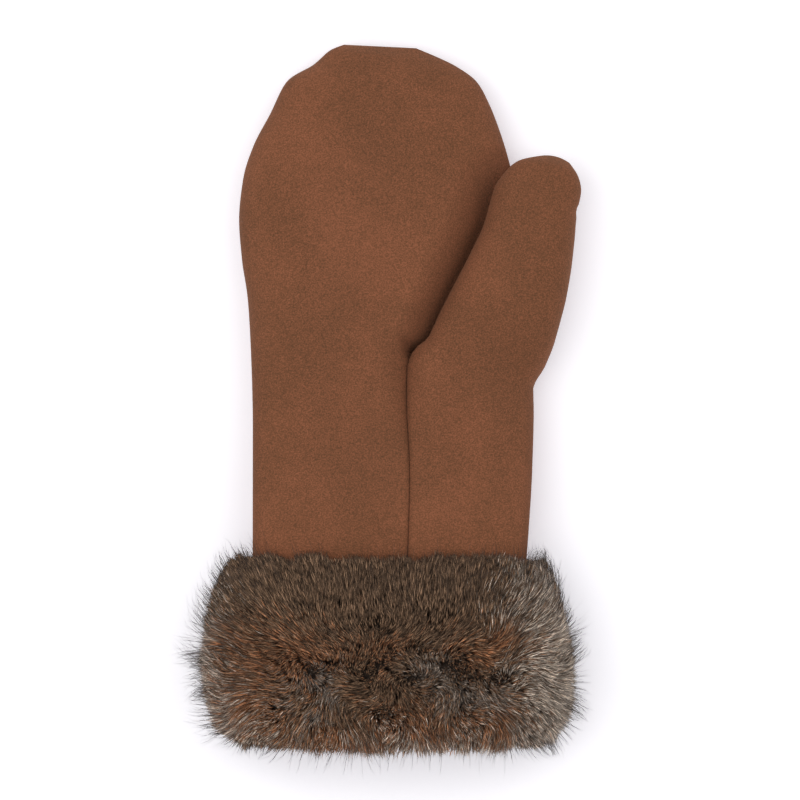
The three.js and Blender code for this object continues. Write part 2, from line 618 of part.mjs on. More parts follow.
const back = solidOf(backWall());
const thumbPanel = solidOf(thumbPanelWall());
const thumbBack = largestBody(solidOf(thumbBackWall()).subtract(spread(thumbPanel)).subtract(spread(back)));
const palm = largestBody(solidOf(palmWall()).subtract(spread(thumbPanel)).subtract(spread(thumbBack)));
addPiece('back_panel', back, SUEDE_COLOUR);
addPiece('palm_panel', palm, SUEDE_COLOUR);
addPiece('thumb_panel', thumbPanel, SUEDE_COLOUR);
addPiece('thumb_back', thumbBack, SUEDE_COLOUR);
addPiece('fur_cuff', furSolid(), FUR_COLOUR);

// The origin is the middle of the box round the mitten, on the table.
const box = new THREE.Box3().setFromObject(mitten);
mitten.position.set(-(box.min.x + box.max.x) / 2, -(box.min.y + box.max.y) / 2, -box.min.z);

export default mitten;
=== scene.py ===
# %% [markdown]
# # A suede mitten with a deep fur cuff
# The mitten lies on its back with the palm up. Four suede panels are sewn into a hand with a curved
# thumb, and a ring of long-haired fur is sewn round the wrist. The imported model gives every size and
# place, so this lesson only has to make the panels fine enough to show their seams and dents, and to
# grow the hair.

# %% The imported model
import math

import bpy
import numpy as np
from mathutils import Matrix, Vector, noise


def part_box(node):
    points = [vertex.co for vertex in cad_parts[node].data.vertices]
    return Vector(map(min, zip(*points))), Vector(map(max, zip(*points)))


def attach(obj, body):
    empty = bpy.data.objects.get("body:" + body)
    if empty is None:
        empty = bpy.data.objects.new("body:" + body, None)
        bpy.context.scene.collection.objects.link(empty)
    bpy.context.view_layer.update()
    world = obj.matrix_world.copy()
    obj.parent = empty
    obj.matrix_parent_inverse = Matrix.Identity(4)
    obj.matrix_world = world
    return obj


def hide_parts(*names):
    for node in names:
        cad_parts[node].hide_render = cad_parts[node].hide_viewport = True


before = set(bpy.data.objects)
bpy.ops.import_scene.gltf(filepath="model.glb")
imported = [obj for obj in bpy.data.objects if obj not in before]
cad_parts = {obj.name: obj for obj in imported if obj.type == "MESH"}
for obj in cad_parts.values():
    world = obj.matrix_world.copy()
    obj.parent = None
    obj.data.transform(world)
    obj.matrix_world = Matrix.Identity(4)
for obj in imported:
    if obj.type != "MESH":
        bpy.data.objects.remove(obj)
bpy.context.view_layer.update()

# %% [markdown]
# ## Sizes
# The panels follow the same named sizes and section tables as the solids that they replace, in
# millimetres, with the cuff seam at y = 0. Each table has a row for each section of the hand or the
# thumb, and its columns are shares of a named size. Repeating the tables here keeps the fine panels on
# the solids, which a subdivided copy of the coarse solids would round off.

# %% Sizes and section tables
MM = 0.001
LEATHER_WALL = 2.2
SEAM_GAP = 0.1
EDGE_ROUNDNESS = 0.78

HAND_LENGTH = 206
HAND_WIDTH = 114
HAND_THICKNESS = 39
PALM_SEAM_OFFSET = 7.4
CROTCH_SINK = 8
SINK_REACH = 9
PALM_REACH = 15
HEEL_REACH = 1.3
SINK_SPREAD = 0.05
THUMB_PRESS = 0.97
PRESS_REACH = 0.6
PRESS_ALONG = 2.5
PRESS_ENDS = 1
VALLEY_POWER = 2

THUMB_LENGTH = 88
THUMB_WIDTH = 46
THUMB_THICKNESS = 25
THUMB_RAISE = 8.5
THUMB_CLEARANCE = 1
EDGES_FREE = 0.085
RIMS_LEVEL = 0.15
FRONT_FREE = 0.2
SEAM_RISEN = 0.3
TIP_CLOSING = 0.88
TIP_ROUND = 0.96
TIP_BULGE = 1.1

CUFF_LENGTH = 73
FUR_DEPTH = 19
CUFF_LIFT = 11.5
PELT_CLEARANCE = 0.3
TUBE_LENGTH = 64
HEM_LIP = 2.5


def table(columns, *rows):
    """A table with named columns, each a numpy array."""
    return dict(zip(columns.split(), np.array(rows, float).T))


HAND = table(
    "left_x left_y right_x right_y seam_left seam_right rise drop lift",
    (-0.484, 0, 0.474, 0, 0.36, 0.36, 0.36, 0.36, 1),
    (-0.484, 0, 0.474, 0, 0.36, 0.36, 0.36, 0.36, 1),
    (-0.484, 0.252, 0.495, 0.175, 0.38, 0.37, 0.42, 0.4, 0.45),
    (-0.5, 0.492, 0.503, 0.345, 0.39, 0.34, 0.55, 0.42, 0.05),
    (-0.523, 0.583, 0.485, 0.447, 0.36, 0.27, 0.55, 0.4, 0),
    (-0.533, 0.66, 0.472, 0.563, 0.34, 0.25, 0.54, 0.38, 0),
    (-0.519, 0.738, 0.452, 0.68, 0.33, 0.25, 0.53, 0.36, 0),
    (-0.484, 0.801, 0.418, 0.767, 0.32, 0.26, 0.5, 0.35, 0),
    (-0.425, 0.864, 0.38, 0.835, 0.31, 0.27, 0.45, 0.32, 0),
    (-0.362, 0.93, 0.346, 0.883, 0.3, 0.28, 0.38, 0.26, 0),
    (-0.272, 0.961, 0.302, 0.927, 0.29, 0.28, 0.29, 0.19, 0),
    (-0.211, 0.99, 0.228, 0.958, 0.28, 0.28, 0.18, 0.11, 0),
    (-0.167, 1, 0.09, 0.993, 0.28, 0.28, 0.07, 0.06, 0),
)
MOUTH_ROW = 0
WRIST_ROW = 1
CROTCH_ROW = 3
TIP_ROW = len(HAND["rise"]) - 1
NEAR_TIP_ROW = TIP_ROW - 2

THUMB = table(
    "along left right rise drop",
    (0, -0.555, 0.555, 0.5, -0.14),
    (0.085, -0.425, 0.609, 0.55, -0.03),
    (0.2, -0.385, 0.64, 0.62, 0.12),
    (0.35, -0.325, 0.642, 0.65, 0.25),
    (0.5, -0.262, 0.624, 0.65, 0.31),
    (0.65, -0.215, 0.585, 0.62, 0.32),
    (0.79, -0.212, 0.541, 0.56, 0.3),
    (0.88, -0.16, 0.53, 0.47, 0.27),
    (0.95, -0.07, 0.47, 0.34, 0.21),
    (1, 0.115, 0.365, 0.1, 0.08),
)

FUR_PROFILE = table(
    "y depth",
    (0, 0.12),
    (-0.02, 0.36),
    (0.06, 0.62),
    (0.2, 0.84),
    (0.4, 0.98),
    (0.58, 1.01),
    (0.75, 0.95),
    (0.88, 0.77),
    (0.97, 0.46),
    (1, 0.1),
)
print("sections:", TIP_ROW + 1, "of the hand and", len(THUMB["along"]), "of the thumb")

# %% [markdown]
# ## Reading the tables
# A table is read between its rows along a curve that never overshoots, so a section that widens
# steadily stays smooth. Everything works on whole arrays of points at once, because a panel has
# thousands of them and a Python loop over each would be slow.

# %% Smooth readings of a table
HALVINGS = 30


def read(column, position):
    """A column at row positions, along a smooth curve that stays between its rows."""
    last = len(column) - 1
    before, after = np.diff(column)[:-1], np.diff(column)[1:]
    both = np.where(before * after > 0, before + after, 1)
    slopes = np.zeros(last + 1)
    slopes[1:-1] = np.where(before * after > 0, 2 * before * after / both, 0)
    row = np.clip(np.floor(position).astype(int), 0, last - 1)
    s = np.clip(position - row, 0, 1)
    start = column[row] * (2 * s**3 - 3 * s**2 + 1) + slopes[row] * (s**3 - 2 * s**2 + s)
    return start + column[row + 1] * (3 * s**2 - 2 * s**3) + slopes[row + 1] * (s**3 - s**2)


def row_where(column, wanted):
    """The row positions where a rising column reaches the wanted values."""
    low = np.zeros_like(wanted)
    high = np.full_like(wanted, len(column) - 1)
    for _ in range(HALVINGS):
        middle = (low + high) / 2
        under = read(column, middle) < wanted
        low = np.where(under, middle, low)
        high = np.where(under, high, middle)
    return (low + high) / 2


def smooth(start, end, x):
    """0 up to start, 1 from end on, and smooth between them. start may be the larger one."""
    t = np.clip((x - start) / (end - start), 0, 1)
    return t * t * (3 - 2 * t)


def blend(a, b, share):
    return a + (b - a) * share


def swell(share):
    """The part of its full height that a section has at a share of its width."""
    return (1 - np.abs(2 * share - 1) ** (2 / EDGE_ROUNDNESS)) ** (EDGE_ROUNDNESS / 2)


def unit(vectors):
    return vectors / np.maximum(np.linalg.norm(vectors, axis=-1, keepdims=True), 1e-9)


def share_at(angle):
    """The share of a section's width, from its left seam, at an angle round it."""
    across = np.cos(angle)
    return 0.5 - 0.5 * np.sign(across) * np.abs(across) ** EDGE_ROUNDNESS


print("swell over the middle:", swell(0.5), "and at a seam:", swell(0.0))

# %% [markdown]
# ## The hand's surface
# A section of the hand is a line from the left seam to the right one, with the palm swelling up from it
# and the back down. The palm seam sinks into a shallow valley that deepens to the crotch of the thumb,
# and the thumb presses the palm flat beneath it. One function gives a point of the palm or the back at
# any depth in the leather, so the outer and the inner face of a wall come from the same place. Both
# panels close in a quarter circle at the fingertips, as leather does at a turned seam.

# %% Points of the palm and the back
SEAM_SHARE = 0.5 + PALM_SEAM_OFFSET / HAND_WIDTH


def hand_section(position):
    """The seams of the hand's sections at row positions, in plan and in height, and their swell."""
    mouth_y = -TUBE_LENGTH * np.maximum(0, WRIST_ROW - position)
    lift = CUFF_LIFT * read(HAND["lift"], position)
    x = {side: HAND_WIDTH * read(HAND[side + "_x"], position) for side in ("left", "right")}
    y = {side: HAND_LENGTH * read(HAND[side + "_y"], position) + mouth_y for side in ("left", "right")}
    return {
        "left": np.stack([x["left"], y["left"]], -1),
        "right": np.stack([x["right"], y["right"]], -1),
        "seam_left": HAND_THICKNESS * read(HAND["seam_left"], position) + lift,
        "seam_right": HAND_THICKNESS * read(HAND["seam_right"], position) + lift,
        "rise": HAND_THICKNESS * read(HAND["rise"], position),
        "drop": HAND_THICKNESS * read(HAND["drop"], position),
    }


crotch = hand_section(np.array(float(CROTCH_ROW)))
CROTCH_POINT = blend(crotch["left"], crotch["right"], SEAM_SHARE)
SIDE_POINT = crotch["right"]
THUMB_ORIGIN = (CROTCH_POINT + SIDE_POINT) / 2
THUMB_BASE_WIDTH = np.linalg.norm(SIDE_POINT - CROTCH_POINT)
THUMB_ACROSS = (SIDE_POINT - CROTCH_POINT) / THUMB_BASE_WIDTH
THUMB_ALONG = np.array([-THUMB_ACROSS[1], THUMB_ACROSS[0]])
PLEAT_ALONG = 6.5
PLEAT_SIZE = 1.1
PLEAT_DEPTH = 0.7


def thumb_edge(row, side, along):
    """An edge of the thumb from its axis. At the base it meets the hand's own seams."""
    own = THUMB_WIDTH * read(THUMB[side], row)
    base = (-0.5 if side == "left" else 0.5) * THUMB_BASE_WIDTH
    free = smooth(0, EDGES_FREE, along / THUMB_LENGTH)
    if side == "left":
        free = 2 * smooth(-EDGES_FREE, EDGES_FREE, along / THUMB_LENGTH) - 1
        own = own + PLEAT_DEPTH * np.exp(-(((along - PLEAT_ALONG) / PLEAT_SIZE) ** 2))
    return blend(base, own, np.clip(free, 0, 1))


def thumb_place(point):
    """How far plan points lie along the thumb, and how far inside its left edge."""
    offset = point - THUMB_ORIGIN
    along = offset @ THUMB_ALONG
    row = row_where(THUMB["along"], along / THUMB_LENGTH)
    return along, offset @ THUMB_ACROSS - thumb_edge(row, "left", along)


def valley(away):
    """The side of a valley: 1 at its bottom, where it is steepest, and 0 at its rim."""
    return np.clip(1 - away, 0, 1) ** VALLEY_POWER


def closing(position, start, end):
    """1 up to start, then a quarter circle down to 0 at the end, where two panels meet in a tip."""
    return np.sqrt(1 - np.clip((position - start) / (end - start), 0, 1) ** 2)


def pressed_share(position, point, section, is_heel):
    """The share of the palm's rise that is pressed down, in the seam's valley and under the thumb."""
    sink = CROTCH_SINK / section["rise"]
    seam = blend(section["left"], section["right"], SEAM_SHARE)
    distance = np.linalg.norm(point - seam, axis=-1)
    palm_width = blend(SINK_REACH, PALM_REACH, smooth(CROTCH_ROW - 1, CROTCH_ROW, position))
    width = SINK_REACH * HEEL_REACH if is_heel else palm_width
    before = sink * smooth(WRIST_ROW, CROTCH_ROW, position) ** 2 * valley(distance / width)
    if is_heel:
        return before
    along, inside = thumb_place(point)
    reach = PALM_REACH + SINK_SPREAD * np.maximum(along, 0)
    deep = smooth(0, PRESS_REACH * SINK_REACH, inside + PRESS_ALONG * np.maximum(along, 0))
    ends = PRESS_ENDS * smooth(0, SINK_REACH, along)
    beyond = blend(sink, THUMB_PRESS, deep) * valley((ends - inside) / (ends + reach))
    return np.where(position < CROTCH_ROW, before, beyond)


def hand_point(position, share, side, inset, is_heel=False):
    """Points of the palm (side 1) or the back (side -1), at a depth in the leather."""
    position, share = np.broadcast_arrays(np.asarray(position, float), share)
    section = hand_section(position)
    line = section["right"] - section["left"]
    width = np.linalg.norm(line, axis=-1, keepdims=True)
    line = line / width
    point = section["left"] + line * (inset + (width - 2 * inset) * share[..., None])
    end_inset = inset * smooth(NEAR_TIP_ROW, TIP_ROW, position)
    point = point + np.stack([line[..., 1], -line[..., 0]], -1) * end_inset[..., None]
    seam = blend(section["seam_left"], section["seam_right"], share)
    closed = closing(position, TIP_ROW - 1, TIP_ROW)
    if side > 0:
        kept = 1 - pressed_share(position, point, section, is_heel)
        rise = section["rise"] * kept * closed
        height = seam + SEAM_GAP / 2 + np.maximum(rise - inset, 0) * swell(share)
    else:
        depth = np.maximum(section["drop"] * closed - inset, 0) * swell(share)
        height = np.maximum(seam - SEAM_GAP / 2 - depth, inset)
    return np.concatenate([point, height[..., None]], -1)


def heel_part(turn):
    """The part of the heel's width that a turn over it has passed."""
    return 0.5 - 0.5 * np.cos(np.pi * turn)


def heel_share(turn):
    """The share of a section that a turn over the heel reaches, from the palm seam to the right seam."""
    return blend(SEAM_SHARE, 1, heel_part(turn))


print("crotch of the thumb:", CROTCH_POINT.round(1), "mm")

# %% [markdown]
# ## The thumb's surface
# The thumb grows out of the heel of the hand. Its front goes on from the heel, and its back is a
# panel of its own that lies just above the palm. Both are read along the thumb from its own table.

# %% Points of the thumb
def palm_height(point):
    """The palm's height under one plan point beyond the crotch."""
    low, high = float(CROTCH_ROW), float(TIP_ROW)
    for _ in range(HALVINGS):
        middle = (low + high) / 2
        section = hand_section(np.array(middle))
        line, offset = section["right"] - section["left"], point - section["left"]
        if line[0] * offset[1] - line[1] * offset[0] > 0:
            low = middle
        else:
            high = middle
    section = hand_section(np.array(low))
    width = np.linalg.norm(section["right"] - section["left"])
    share = np.linalg.norm(point - section["left"]) / width
    return float(hand_point(low, np.array(share), 1, 0)[2])


THUMB_MIDDLE = THUMB_ORIGIN + THUMB_ALONG * 0.5 * THUMB_LENGTH
THUMB_SEAM = palm_height(THUMB_MIDDLE) + THUMB_CLEARANCE + THUMB_RAISE


def thumb_point(along, turn, side, inset):
    """Points of the thumb's front (side 1) or back (side -1), at a depth in the leather."""
    along, turn = np.broadcast_arrays(np.asarray(along, float), turn)
    place = along / THUMB_LENGTH
    share = share_at(np.pi * turn)
    if side > 0:
        share = blend(heel_part(turn), share, smooth(0, FRONT_FREE, place))
    row = row_where(THUMB["along"], np.clip(place, 0, 1))
    level = smooth(0, RIMS_LEVEL, place)
    left = thumb_edge(row, "left", along) + inset * level
    right = thumb_edge(row, "right", along) - inset * (1 if side > 0 else level)
    across = left + (right - left) * share
    bulge = TIP_BULGE * (1 - (2 * share - 1) ** 2)
    reach = along + (bulge - inset) * smooth(TIP_CLOSING, 1, place)
    point = THUMB_ORIGIN + THUMB_ACROSS * across[..., None] + THUMB_ALONG * reach[..., None]
    crotch_height = hand_point(CROTCH_ROW, np.array(SEAM_SHARE), 1, 0, True)[2]
    start = blend(crotch_height - 2 * (LEATHER_WALL + SEAM_GAP), crotch["seam_right"], turn)
    seam = blend(start, THUMB_SEAM, smooth(0, SEAM_RISEN, place))
    reading = THUMB_THICKNESS * read(THUMB["rise" if side > 0 else "drop"], row)
    reading = reading * closing(place, TIP_ROUND, 1)
    if side > 0:
        heel = hand_point(CROTCH_ROW, heel_share(turn), 1, inset, True)[..., 2]
        own = seam + SEAM_GAP / 2 + np.maximum(reading - inset, 0) * swell(share)
        height = blend(heel, own, smooth(0, FRONT_FREE, place))
    else:
        thickness = inset * blend(1, swell(share), level)
        height = seam - SEAM_GAP / 2 - reading * swell(share) + thickness
    return np.concatenate([point, height[..., None]], -1)


print("thumb seam height:", round(THUMB_SEAM, 2), "mm")

# %% [markdown]
# ## Where the photograph's points lie
# The photograph looks straight down. Its scale and the place of the cuff seam turn a pixel into a plan
# point, which places the dents of the leather and the colours of the fur. The shift from these plan
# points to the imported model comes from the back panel's box.

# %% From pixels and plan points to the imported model
MM_PER_PIXEL = 0.4
SEAM_PIXEL = (392, 560)
PHOTO_CENTRE = (401, 400.5)
PHOTO_WIDTH = 800


def plan(x, y):
    """The plan point, in millimetres, that a pixel shows."""
    return np.array([(x - SEAM_PIXEL[0]) * MM_PER_PIXEL, (SEAM_PIXEL[1] - y) * MM_PER_PIXEL])


back_low, back_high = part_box("back_panel")
SHIFT = np.array(
    [
        back_low[0] / MM - HAND_WIDTH * HAND["left_x"].min(),
        back_high[1] / MM - HAND_LENGTH,
        0,
    ]
)
print("shift:", SHIFT.round(3), "mm")

# %% [markdown]
# ## Dents and folds
# Soft suede is never a clean surface. A hand that isn't there leaves broad hollows, the seams pull the
# leather in beside them, and small gathers run from the tip. The broad hollows are listed as lines of
# pixels with a width and a depth. The rest is a gentle noise, so no two places are alike.

# %% Dents as short lines, each with a width and a depth
DENTS = (
    # from pixel, to pixel, width in mm, depth in mm
    ((514, 372), (510, 470), 6, 0.9),
    ((500, 330), (514, 372), 7, 0.6),
    ((424, 348), (446, 372), 3, 0.5),
    ((392, 300), (366, 420), 16, 0.8),
    ((300, 230), (290, 420), 18, 0.7),
    ((440, 120), (470, 200), 12, 0.6),
    ((270, 150), (330, 90), 12, 0.5),
    ((460, 440), (466, 540), 12, 0.7),
    ((540, 190), (520, 300), 8, 0.5),
)
# size in mm, height in mm, seed
BROAD_WAVES = (34, 0.35, 3)
PUCKERS = (7, 0.12, 8)


def off_line(points, start, end):
    """Arrows to plan points from the nearest place on a line."""
    line = end - start
    share = np.clip((points - start) @ line / (line @ line), 0, 1)
    return points - start - share[..., None] * line


def waves(points, size, height, seed):
    """Smooth noise of a size and a height at plan points."""
    values = [noise.noise(Vector((x, y, seed))) for x, y in points.reshape(-1, 2) / size]
    return height * np.array(values).reshape(points.shape[:-1])


def dent_depth(points):
    """How far the leather's dents sink at plan points."""
    depth = waves(points, *BROAD_WAVES) + waves(points, *PUCKERS)
    for start, end, width, deep in DENTS:
        distance = np.linalg.norm(off_line(points, plan(*start), plan(*end)), axis=-1)
        depth += deep * np.exp(-((distance / width) ** 2))
    return depth


print("dent in the heel:", dent_depth(plan(*DENTS[0][0])[None]).round(2), "mm deep")

# %% [markdown]
# ## Sewn edges
# The panels are sewn inside out and turned, so every edge rolls in towards its stitches and no stitch
# shows. Along the palm seam the leather rolls down over a millimetre or two. Round the outline the two
# walls tuck in towards each other. Both are worked out from the distance to the seam, which needs
# columns that lie close together there. Where the thumb's seams end, the stitches pull the leather in
# a little further.

# %% Rolled and tucked edges
ROLL_RADIUS = 1.8
ROLL_DEPTH = 0.8
PULLS = (
    # plan point, pull in mm, reach in mm
    (CROTCH_POINT, (-0.4, -3.4), 7),
    (CROTCH_POINT, (0.6, -1.5), 2.6),
    (CROTCH_POINT - (0, 20), (-1.8, 0), 22),
    (SIDE_POINT, (-0.4, -2.6), 9),
)
TUCK_HEIGHT = 1.5
TUCK_DEPTH = 0.35
EDGE_ANGLES = (0, 0.0015, 0.005, 0.012, 0.022, 0.04)
EDGE_CLEAR = 1.5


def roll(distance):
    """How far an edge rolls down at a distance from its seam: a quarter circle."""
    near = np.clip(1 - distance / ROLL_RADIUS, 0, 1)
    return ROLL_DEPTH * (1 - np.sqrt(1 - near**2))


def pull(points):
    """Moves the panels in plan where their seams pull them."""
    moved = points.copy()
    for place, way, reach in PULLS:
        distance = np.linalg.norm(points[..., :2] - place, axis=-1)
        moved[..., :2] += np.array(way) * np.exp(-((distance / reach) ** 2))[..., None]
    return moved


def tuck(points, seam_height, middle):
    """Moves points near the side seams' height towards the middle, in plan."""
    near = np.clip(1 - np.abs(points[..., 2] - seam_height) / TUCK_HEIGHT, 0, 1) ** 2
    moved = points.copy()
    moved[..., :2] += unit(middle - points[..., :2]) * (TUCK_DEPTH * near)[..., None]
    return moved


def crowded(count):
    """Shares from 0 to 1 that lie closer together at both ends."""
    return 0.5 - 0.5 * np.cos(np.pi * np.linspace(0, 1, count + 1))


def from_edge(shares):
    """Shares with the extra columns that a tucked edge at share 0 needs."""
    edge = share_at(np.array(EDGE_ANGLES))
    return np.concatenate([edge, shares[shares > edge[-1] * EDGE_CLEAR]])


print("roll at a seam:", roll(0.0), "mm, and at a millimetre from it:", roll(1.0).round(2), "mm")

# %% [markdown]
# ## A wall of leather
# A panel is two grids of points, the outer face and the inner face, joined round the rim. It is built
# as one closed mesh instead of a thin sheet with a Solidify modifier, because the inner face has its
# own shape where the wall is pressed or meets a seam. Two attributes are stored for the suede: how
# near a point is to a seam, and whether it faces the hollow.

# %% Meshes from grids of points
SHARP_ANGLE = 60


def add_object(name, data):
    made = bpy.data.objects.new(name, data)
    bpy.context.scene.collection.objects.link(made)
    return made


def in_frame(points):
    """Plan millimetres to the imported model's metres."""
    return (points + SHIFT) * MM


def store(mesh, name, values):
    layer = mesh.attributes.new(name, "FLOAT", "POINT")
    layer.data.foreach_set("value", values.astype(np.float32).ravel())


def wall(name, outer, inner, near_seam, missing=None):
    """A closed wall between two grids of points. missing marks the cells that aren't there."""
    rows, columns = outer.shape[:2]
    front, rear = np.arange(2 * rows * columns).reshape(2, rows, columns)
    there = np.ones((rows - 1, columns - 1), bool) if missing is None else ~missing
    faces = []
    for i, j in np.argwhere(there):
        faces.append((front[i, j], front[i, j + 1], front[i + 1, j + 1], front[i + 1, j]))
        faces.append((rear[i, j], rear[i + 1, j], rear[i + 1, j + 1], rear[i, j + 1]))
        sides = (
            # the cell beyond, and the two corners of the side
            ((i - 1, j), (i, j), (i, j + 1)),
            ((i, j + 1), (i, j + 1), (i + 1, j + 1)),
            ((i + 1, j), (i + 1, j + 1), (i + 1, j)),
            ((i, j - 1), (i + 1, j), (i, j)),
        )
        for (row, column), a, b in sides:
            if not (0 <= row < rows - 1 and 0 <= column < columns - 1 and there[row, column]):
                faces.append((front[a], rear[a], rear[b], front[b]))
    points = in_frame(np.concatenate([pull(outer).reshape(-1, 3), pull(inner).reshape(-1, 3)]))
    mesh = bpy.data.meshes.new(name)
    mesh.from_pydata(points.tolist(), [], [tuple(map(int, face)) for face in faces])
    store(mesh, "near_seam", np.concatenate([near_seam.ravel(), near_seam.ravel()]))
    store(mesh, "inside", np.repeat([0.0, 1.0], rows * columns))
    mesh.shade_smooth()
    mesh.set_sharp_from_angle(angle=math.radians(SHARP_ANGLE))
    print(name, len(mesh.polygons), "faces")
    return add_object(name, mesh)

# %% [markdown]
# ## The four panels
# The back and the palm share their rows, and their columns crowd towards the seams. The palm lacks the
# heel, where the thumb panel takes over along the palm seam. Near that seam both faces of a wall roll
# down together, which keeps the leather's thickness and leaves the ridge of a turned seam inside.

# %% Rows and columns of the hand
PALM_COLUMNS = 44
BACK_COLUMNS = 26
HEEL_COLUMNS = 36
CURVED_ROW = 9
# from row, to row, steps
TO_CROTCH = ((MOUTH_ROW, 0.5, 1), (0.5, 0.9, 1), (0.9, WRIST_ROW, 2), (WRIST_ROW, CROTCH_ROW, 43))
TO_TIP = ((CROTCH_ROW, CURVED_ROW, 65), (CURVED_ROW, TIP_ROW, 33))


def stations(*spans):
    """Row positions that follow each span from its start to its end in even steps."""
    parts = [np.linspace(start, end, steps + 1)[1:] for start, end, steps in spans]
    return np.concatenate([[spans[0][0]], *parts])


ROWS_TO_CROTCH = stations(*TO_CROTCH)
HAND_ROWS = stations(*TO_CROTCH, *TO_TIP)
PALM_SHARES = from_edge(SEAM_SHARE * crowded(PALM_COLUMNS))
HALF_BACK = from_edge(0.5 * crowded(BACK_COLUMNS))
BACK_SHARES = np.concatenate([HALF_BACK, 1 - HALF_BACK[-2::-1]])
RIGHT_EDGE = 1 - share_at(np.array(EDGE_ANGLES))[::-1]
HEEL_SHARES = heel_share(np.linspace(0, 1, HEEL_COLUMNS + 1))
HEEL_SHARES = np.concatenate([HEEL_SHARES[HEEL_SHARES < RIGHT_EDGE[0]], RIGHT_EDGE])
print("rows:", len(HAND_ROWS), "columns:", len(PALM_SHARES), len(HEEL_SHARES), len(BACK_SHARES))

# %% What the hand's panels share
DENTS_START, DENTS_END = 0.6, 1.4
GROOVE_REACH = 3.0
LEAST_SLOPE = 0.05


def seam_distance(points, position):
    """Distance in plan to the long palm seam, and beyond the crotch to its end."""
    section = hand_section(np.minimum(position, CROTCH_ROW))
    seam = blend(section["left"], section["right"], SEAM_SHARE)
    return np.linalg.norm(points[..., :2] - seam, axis=-1)


def finish_hand(points, position, share):
    """Tucks the side seams of the palm or the back in."""
    section = hand_section(np.broadcast_to(position, share.shape))
    seam = blend(section["seam_left"], section["seam_right"], share)
    middle = blend(section["left"], section["right"], 0.5)
    return tuck(points, seam, middle)


def groove(distance):
    """1 in a seam, falling to 0 a few millimetres away."""
    return np.clip(1 - distance / GROOVE_REACH, 0, 1) ** 2


def hand_faces(rows, shares, side, is_heel=False, edit=lambda points, position, share: points):
    """The outer and the inner face of a panel of the hand, and how near each point is to a side seam."""
    position, share = np.meshgrid(rows, shares, indexing="ij")
    fade = smooth(DENTS_START, DENTS_END, position) * smooth(TIP_ROW, NEAR_TIP_ROW, position)
    faces = []
    for inset in (0, LEATHER_WALL):
        points = hand_point(position, share, side, inset, is_heel)
        points[..., 2] -= side * dent_depth(points[..., :2]) * swell(share) * fade
        if side < 0:
            points[..., 2] = np.maximum(points[..., 2], inset)
        faces.append(edit(finish_hand(points, position, share), position, share))
    section = hand_section(position)
    width = np.linalg.norm(section["right"] - section["left"], axis=-1)
    slope = width * (swell(share) + LEAST_SLOPE)
    near = groove(slope * share) + groove(slope * (1 - share))
    return *faces, np.clip(near, 0, 1)

# %% The back and the palm
def make_back():
    return wall("back", *hand_faces(HAND_ROWS, BACK_SHARES[::-1], -1))


def make_palm():
    """The palm. Its edge at the palm seam rolls down, and it stops there up to the crotch."""
    shares = np.concatenate([PALM_SHARES, HEEL_SHARES[1:]])
    last = len(PALM_SHARES) - 1
    crotch_row = len(ROWS_TO_CROTCH) - 1

    def sew(points, position, share):
        points[..., 2] -= roll(seam_distance(points, position))
        points[: crotch_row + 1, last, 0] -= SEAM_GAP / 2
        return points

    outer, inner, near = hand_faces(HAND_ROWS, shares, 1, False, sew)
    position = np.repeat(HAND_ROWS[:, None], len(shares), 1)
    by_seam = groove(seam_distance(outer, position)) * (position <= CROTCH_ROW)
    missing = np.zeros((len(HAND_ROWS) - 1, len(shares) - 1), bool)
    missing[:crotch_row, last:] = True
    return wall("palm", outer, inner, np.maximum(near, by_seam), missing)

# %% The thumb's two panels
THUMB_STEPS = 51
THUMB_CROWDING = 1.3
THUMB_COLUMNS = 36
THUMB_ROWS = np.sin(np.linspace(0, np.pi / 2, THUMB_STEPS + 1)) ** THUMB_CROWDING * THUMB_LENGTH
TIP_NOTCH_ALONG = 0.8 * THUMB_LENGTH
TIP_NOTCH_SIZE = 1.6
TIP_NOTCH_DEPTH = 0.6
TIP_NOTCH_TURN = 0.75


def thumb_face(along, turn, side, inset):
    """A face of the thumb, with the small notch in its right edge where its tip seam ends."""
    points = thumb_point(along, turn, side, inset)
    near = np.exp(-(((along - TIP_NOTCH_ALONG) / TIP_NOTCH_SIZE) ** 2))
    notch = TIP_NOTCH_DEPTH * near * smooth(TIP_NOTCH_TURN, 1, turn)
    points[..., :2] -= THUMB_ACROSS * notch[..., None]
    return points


def thumb_edges(turn):
    """How near the thumb's points are to its side seams."""
    return groove(THUMB_WIDTH * np.minimum(turn, 1 - turn) * 2)


def make_thumb_panel():
    """The heel of the hand and the thumb's front in one wall."""
    passed = (HEEL_SHARES - SEAM_SHARE) / (1 - SEAM_SHARE)
    turns = np.arccos(np.clip(1 - 2 * passed, -1, 1)) / np.pi
    along, turn = np.meshgrid(THUMB_ROWS[1:], turns, indexing="ij")
    place = along / THUMB_LENGTH
    own = smooth(0, FRONT_FREE, place)
    fade = blend(swell(heel_share(turn)), swell(share_at(np.pi * turn)), own) * smooth(1, TIP_CLOSING, place)
    rolled = 1 - np.concatenate([np.zeros(len(ROWS_TO_CROTCH)), own[:, 0]])

    def part(points, position, share):
        points[:, 0, 0] += SEAM_GAP / 2
        return points

    *heel, near = hand_faces(ROWS_TO_CROTCH, HEEL_SHARES, 1, True, part)
    faces = []
    for inset, heel_face in zip((0, LEATHER_WALL), heel):
        front = thumb_face(along, turn, 1, inset)
        front[..., 2] -= dent_depth(front[..., :2]) * fade
        points = np.concatenate([heel_face, front])
        to_edge = np.linalg.norm(points[..., :2] - points[:, :1, :2], axis=-1)
        points[..., 2] -= roll(to_edge) * rolled[:, None]
        faces.append(points)
    position = np.repeat(ROWS_TO_CROTCH[:, None], len(turns), 1)
    by_seam = np.maximum(near, groove(seam_distance(heel[0], position)))
    return wall("thumb_front", *faces, np.concatenate([by_seam, thumb_edges(turn)]))


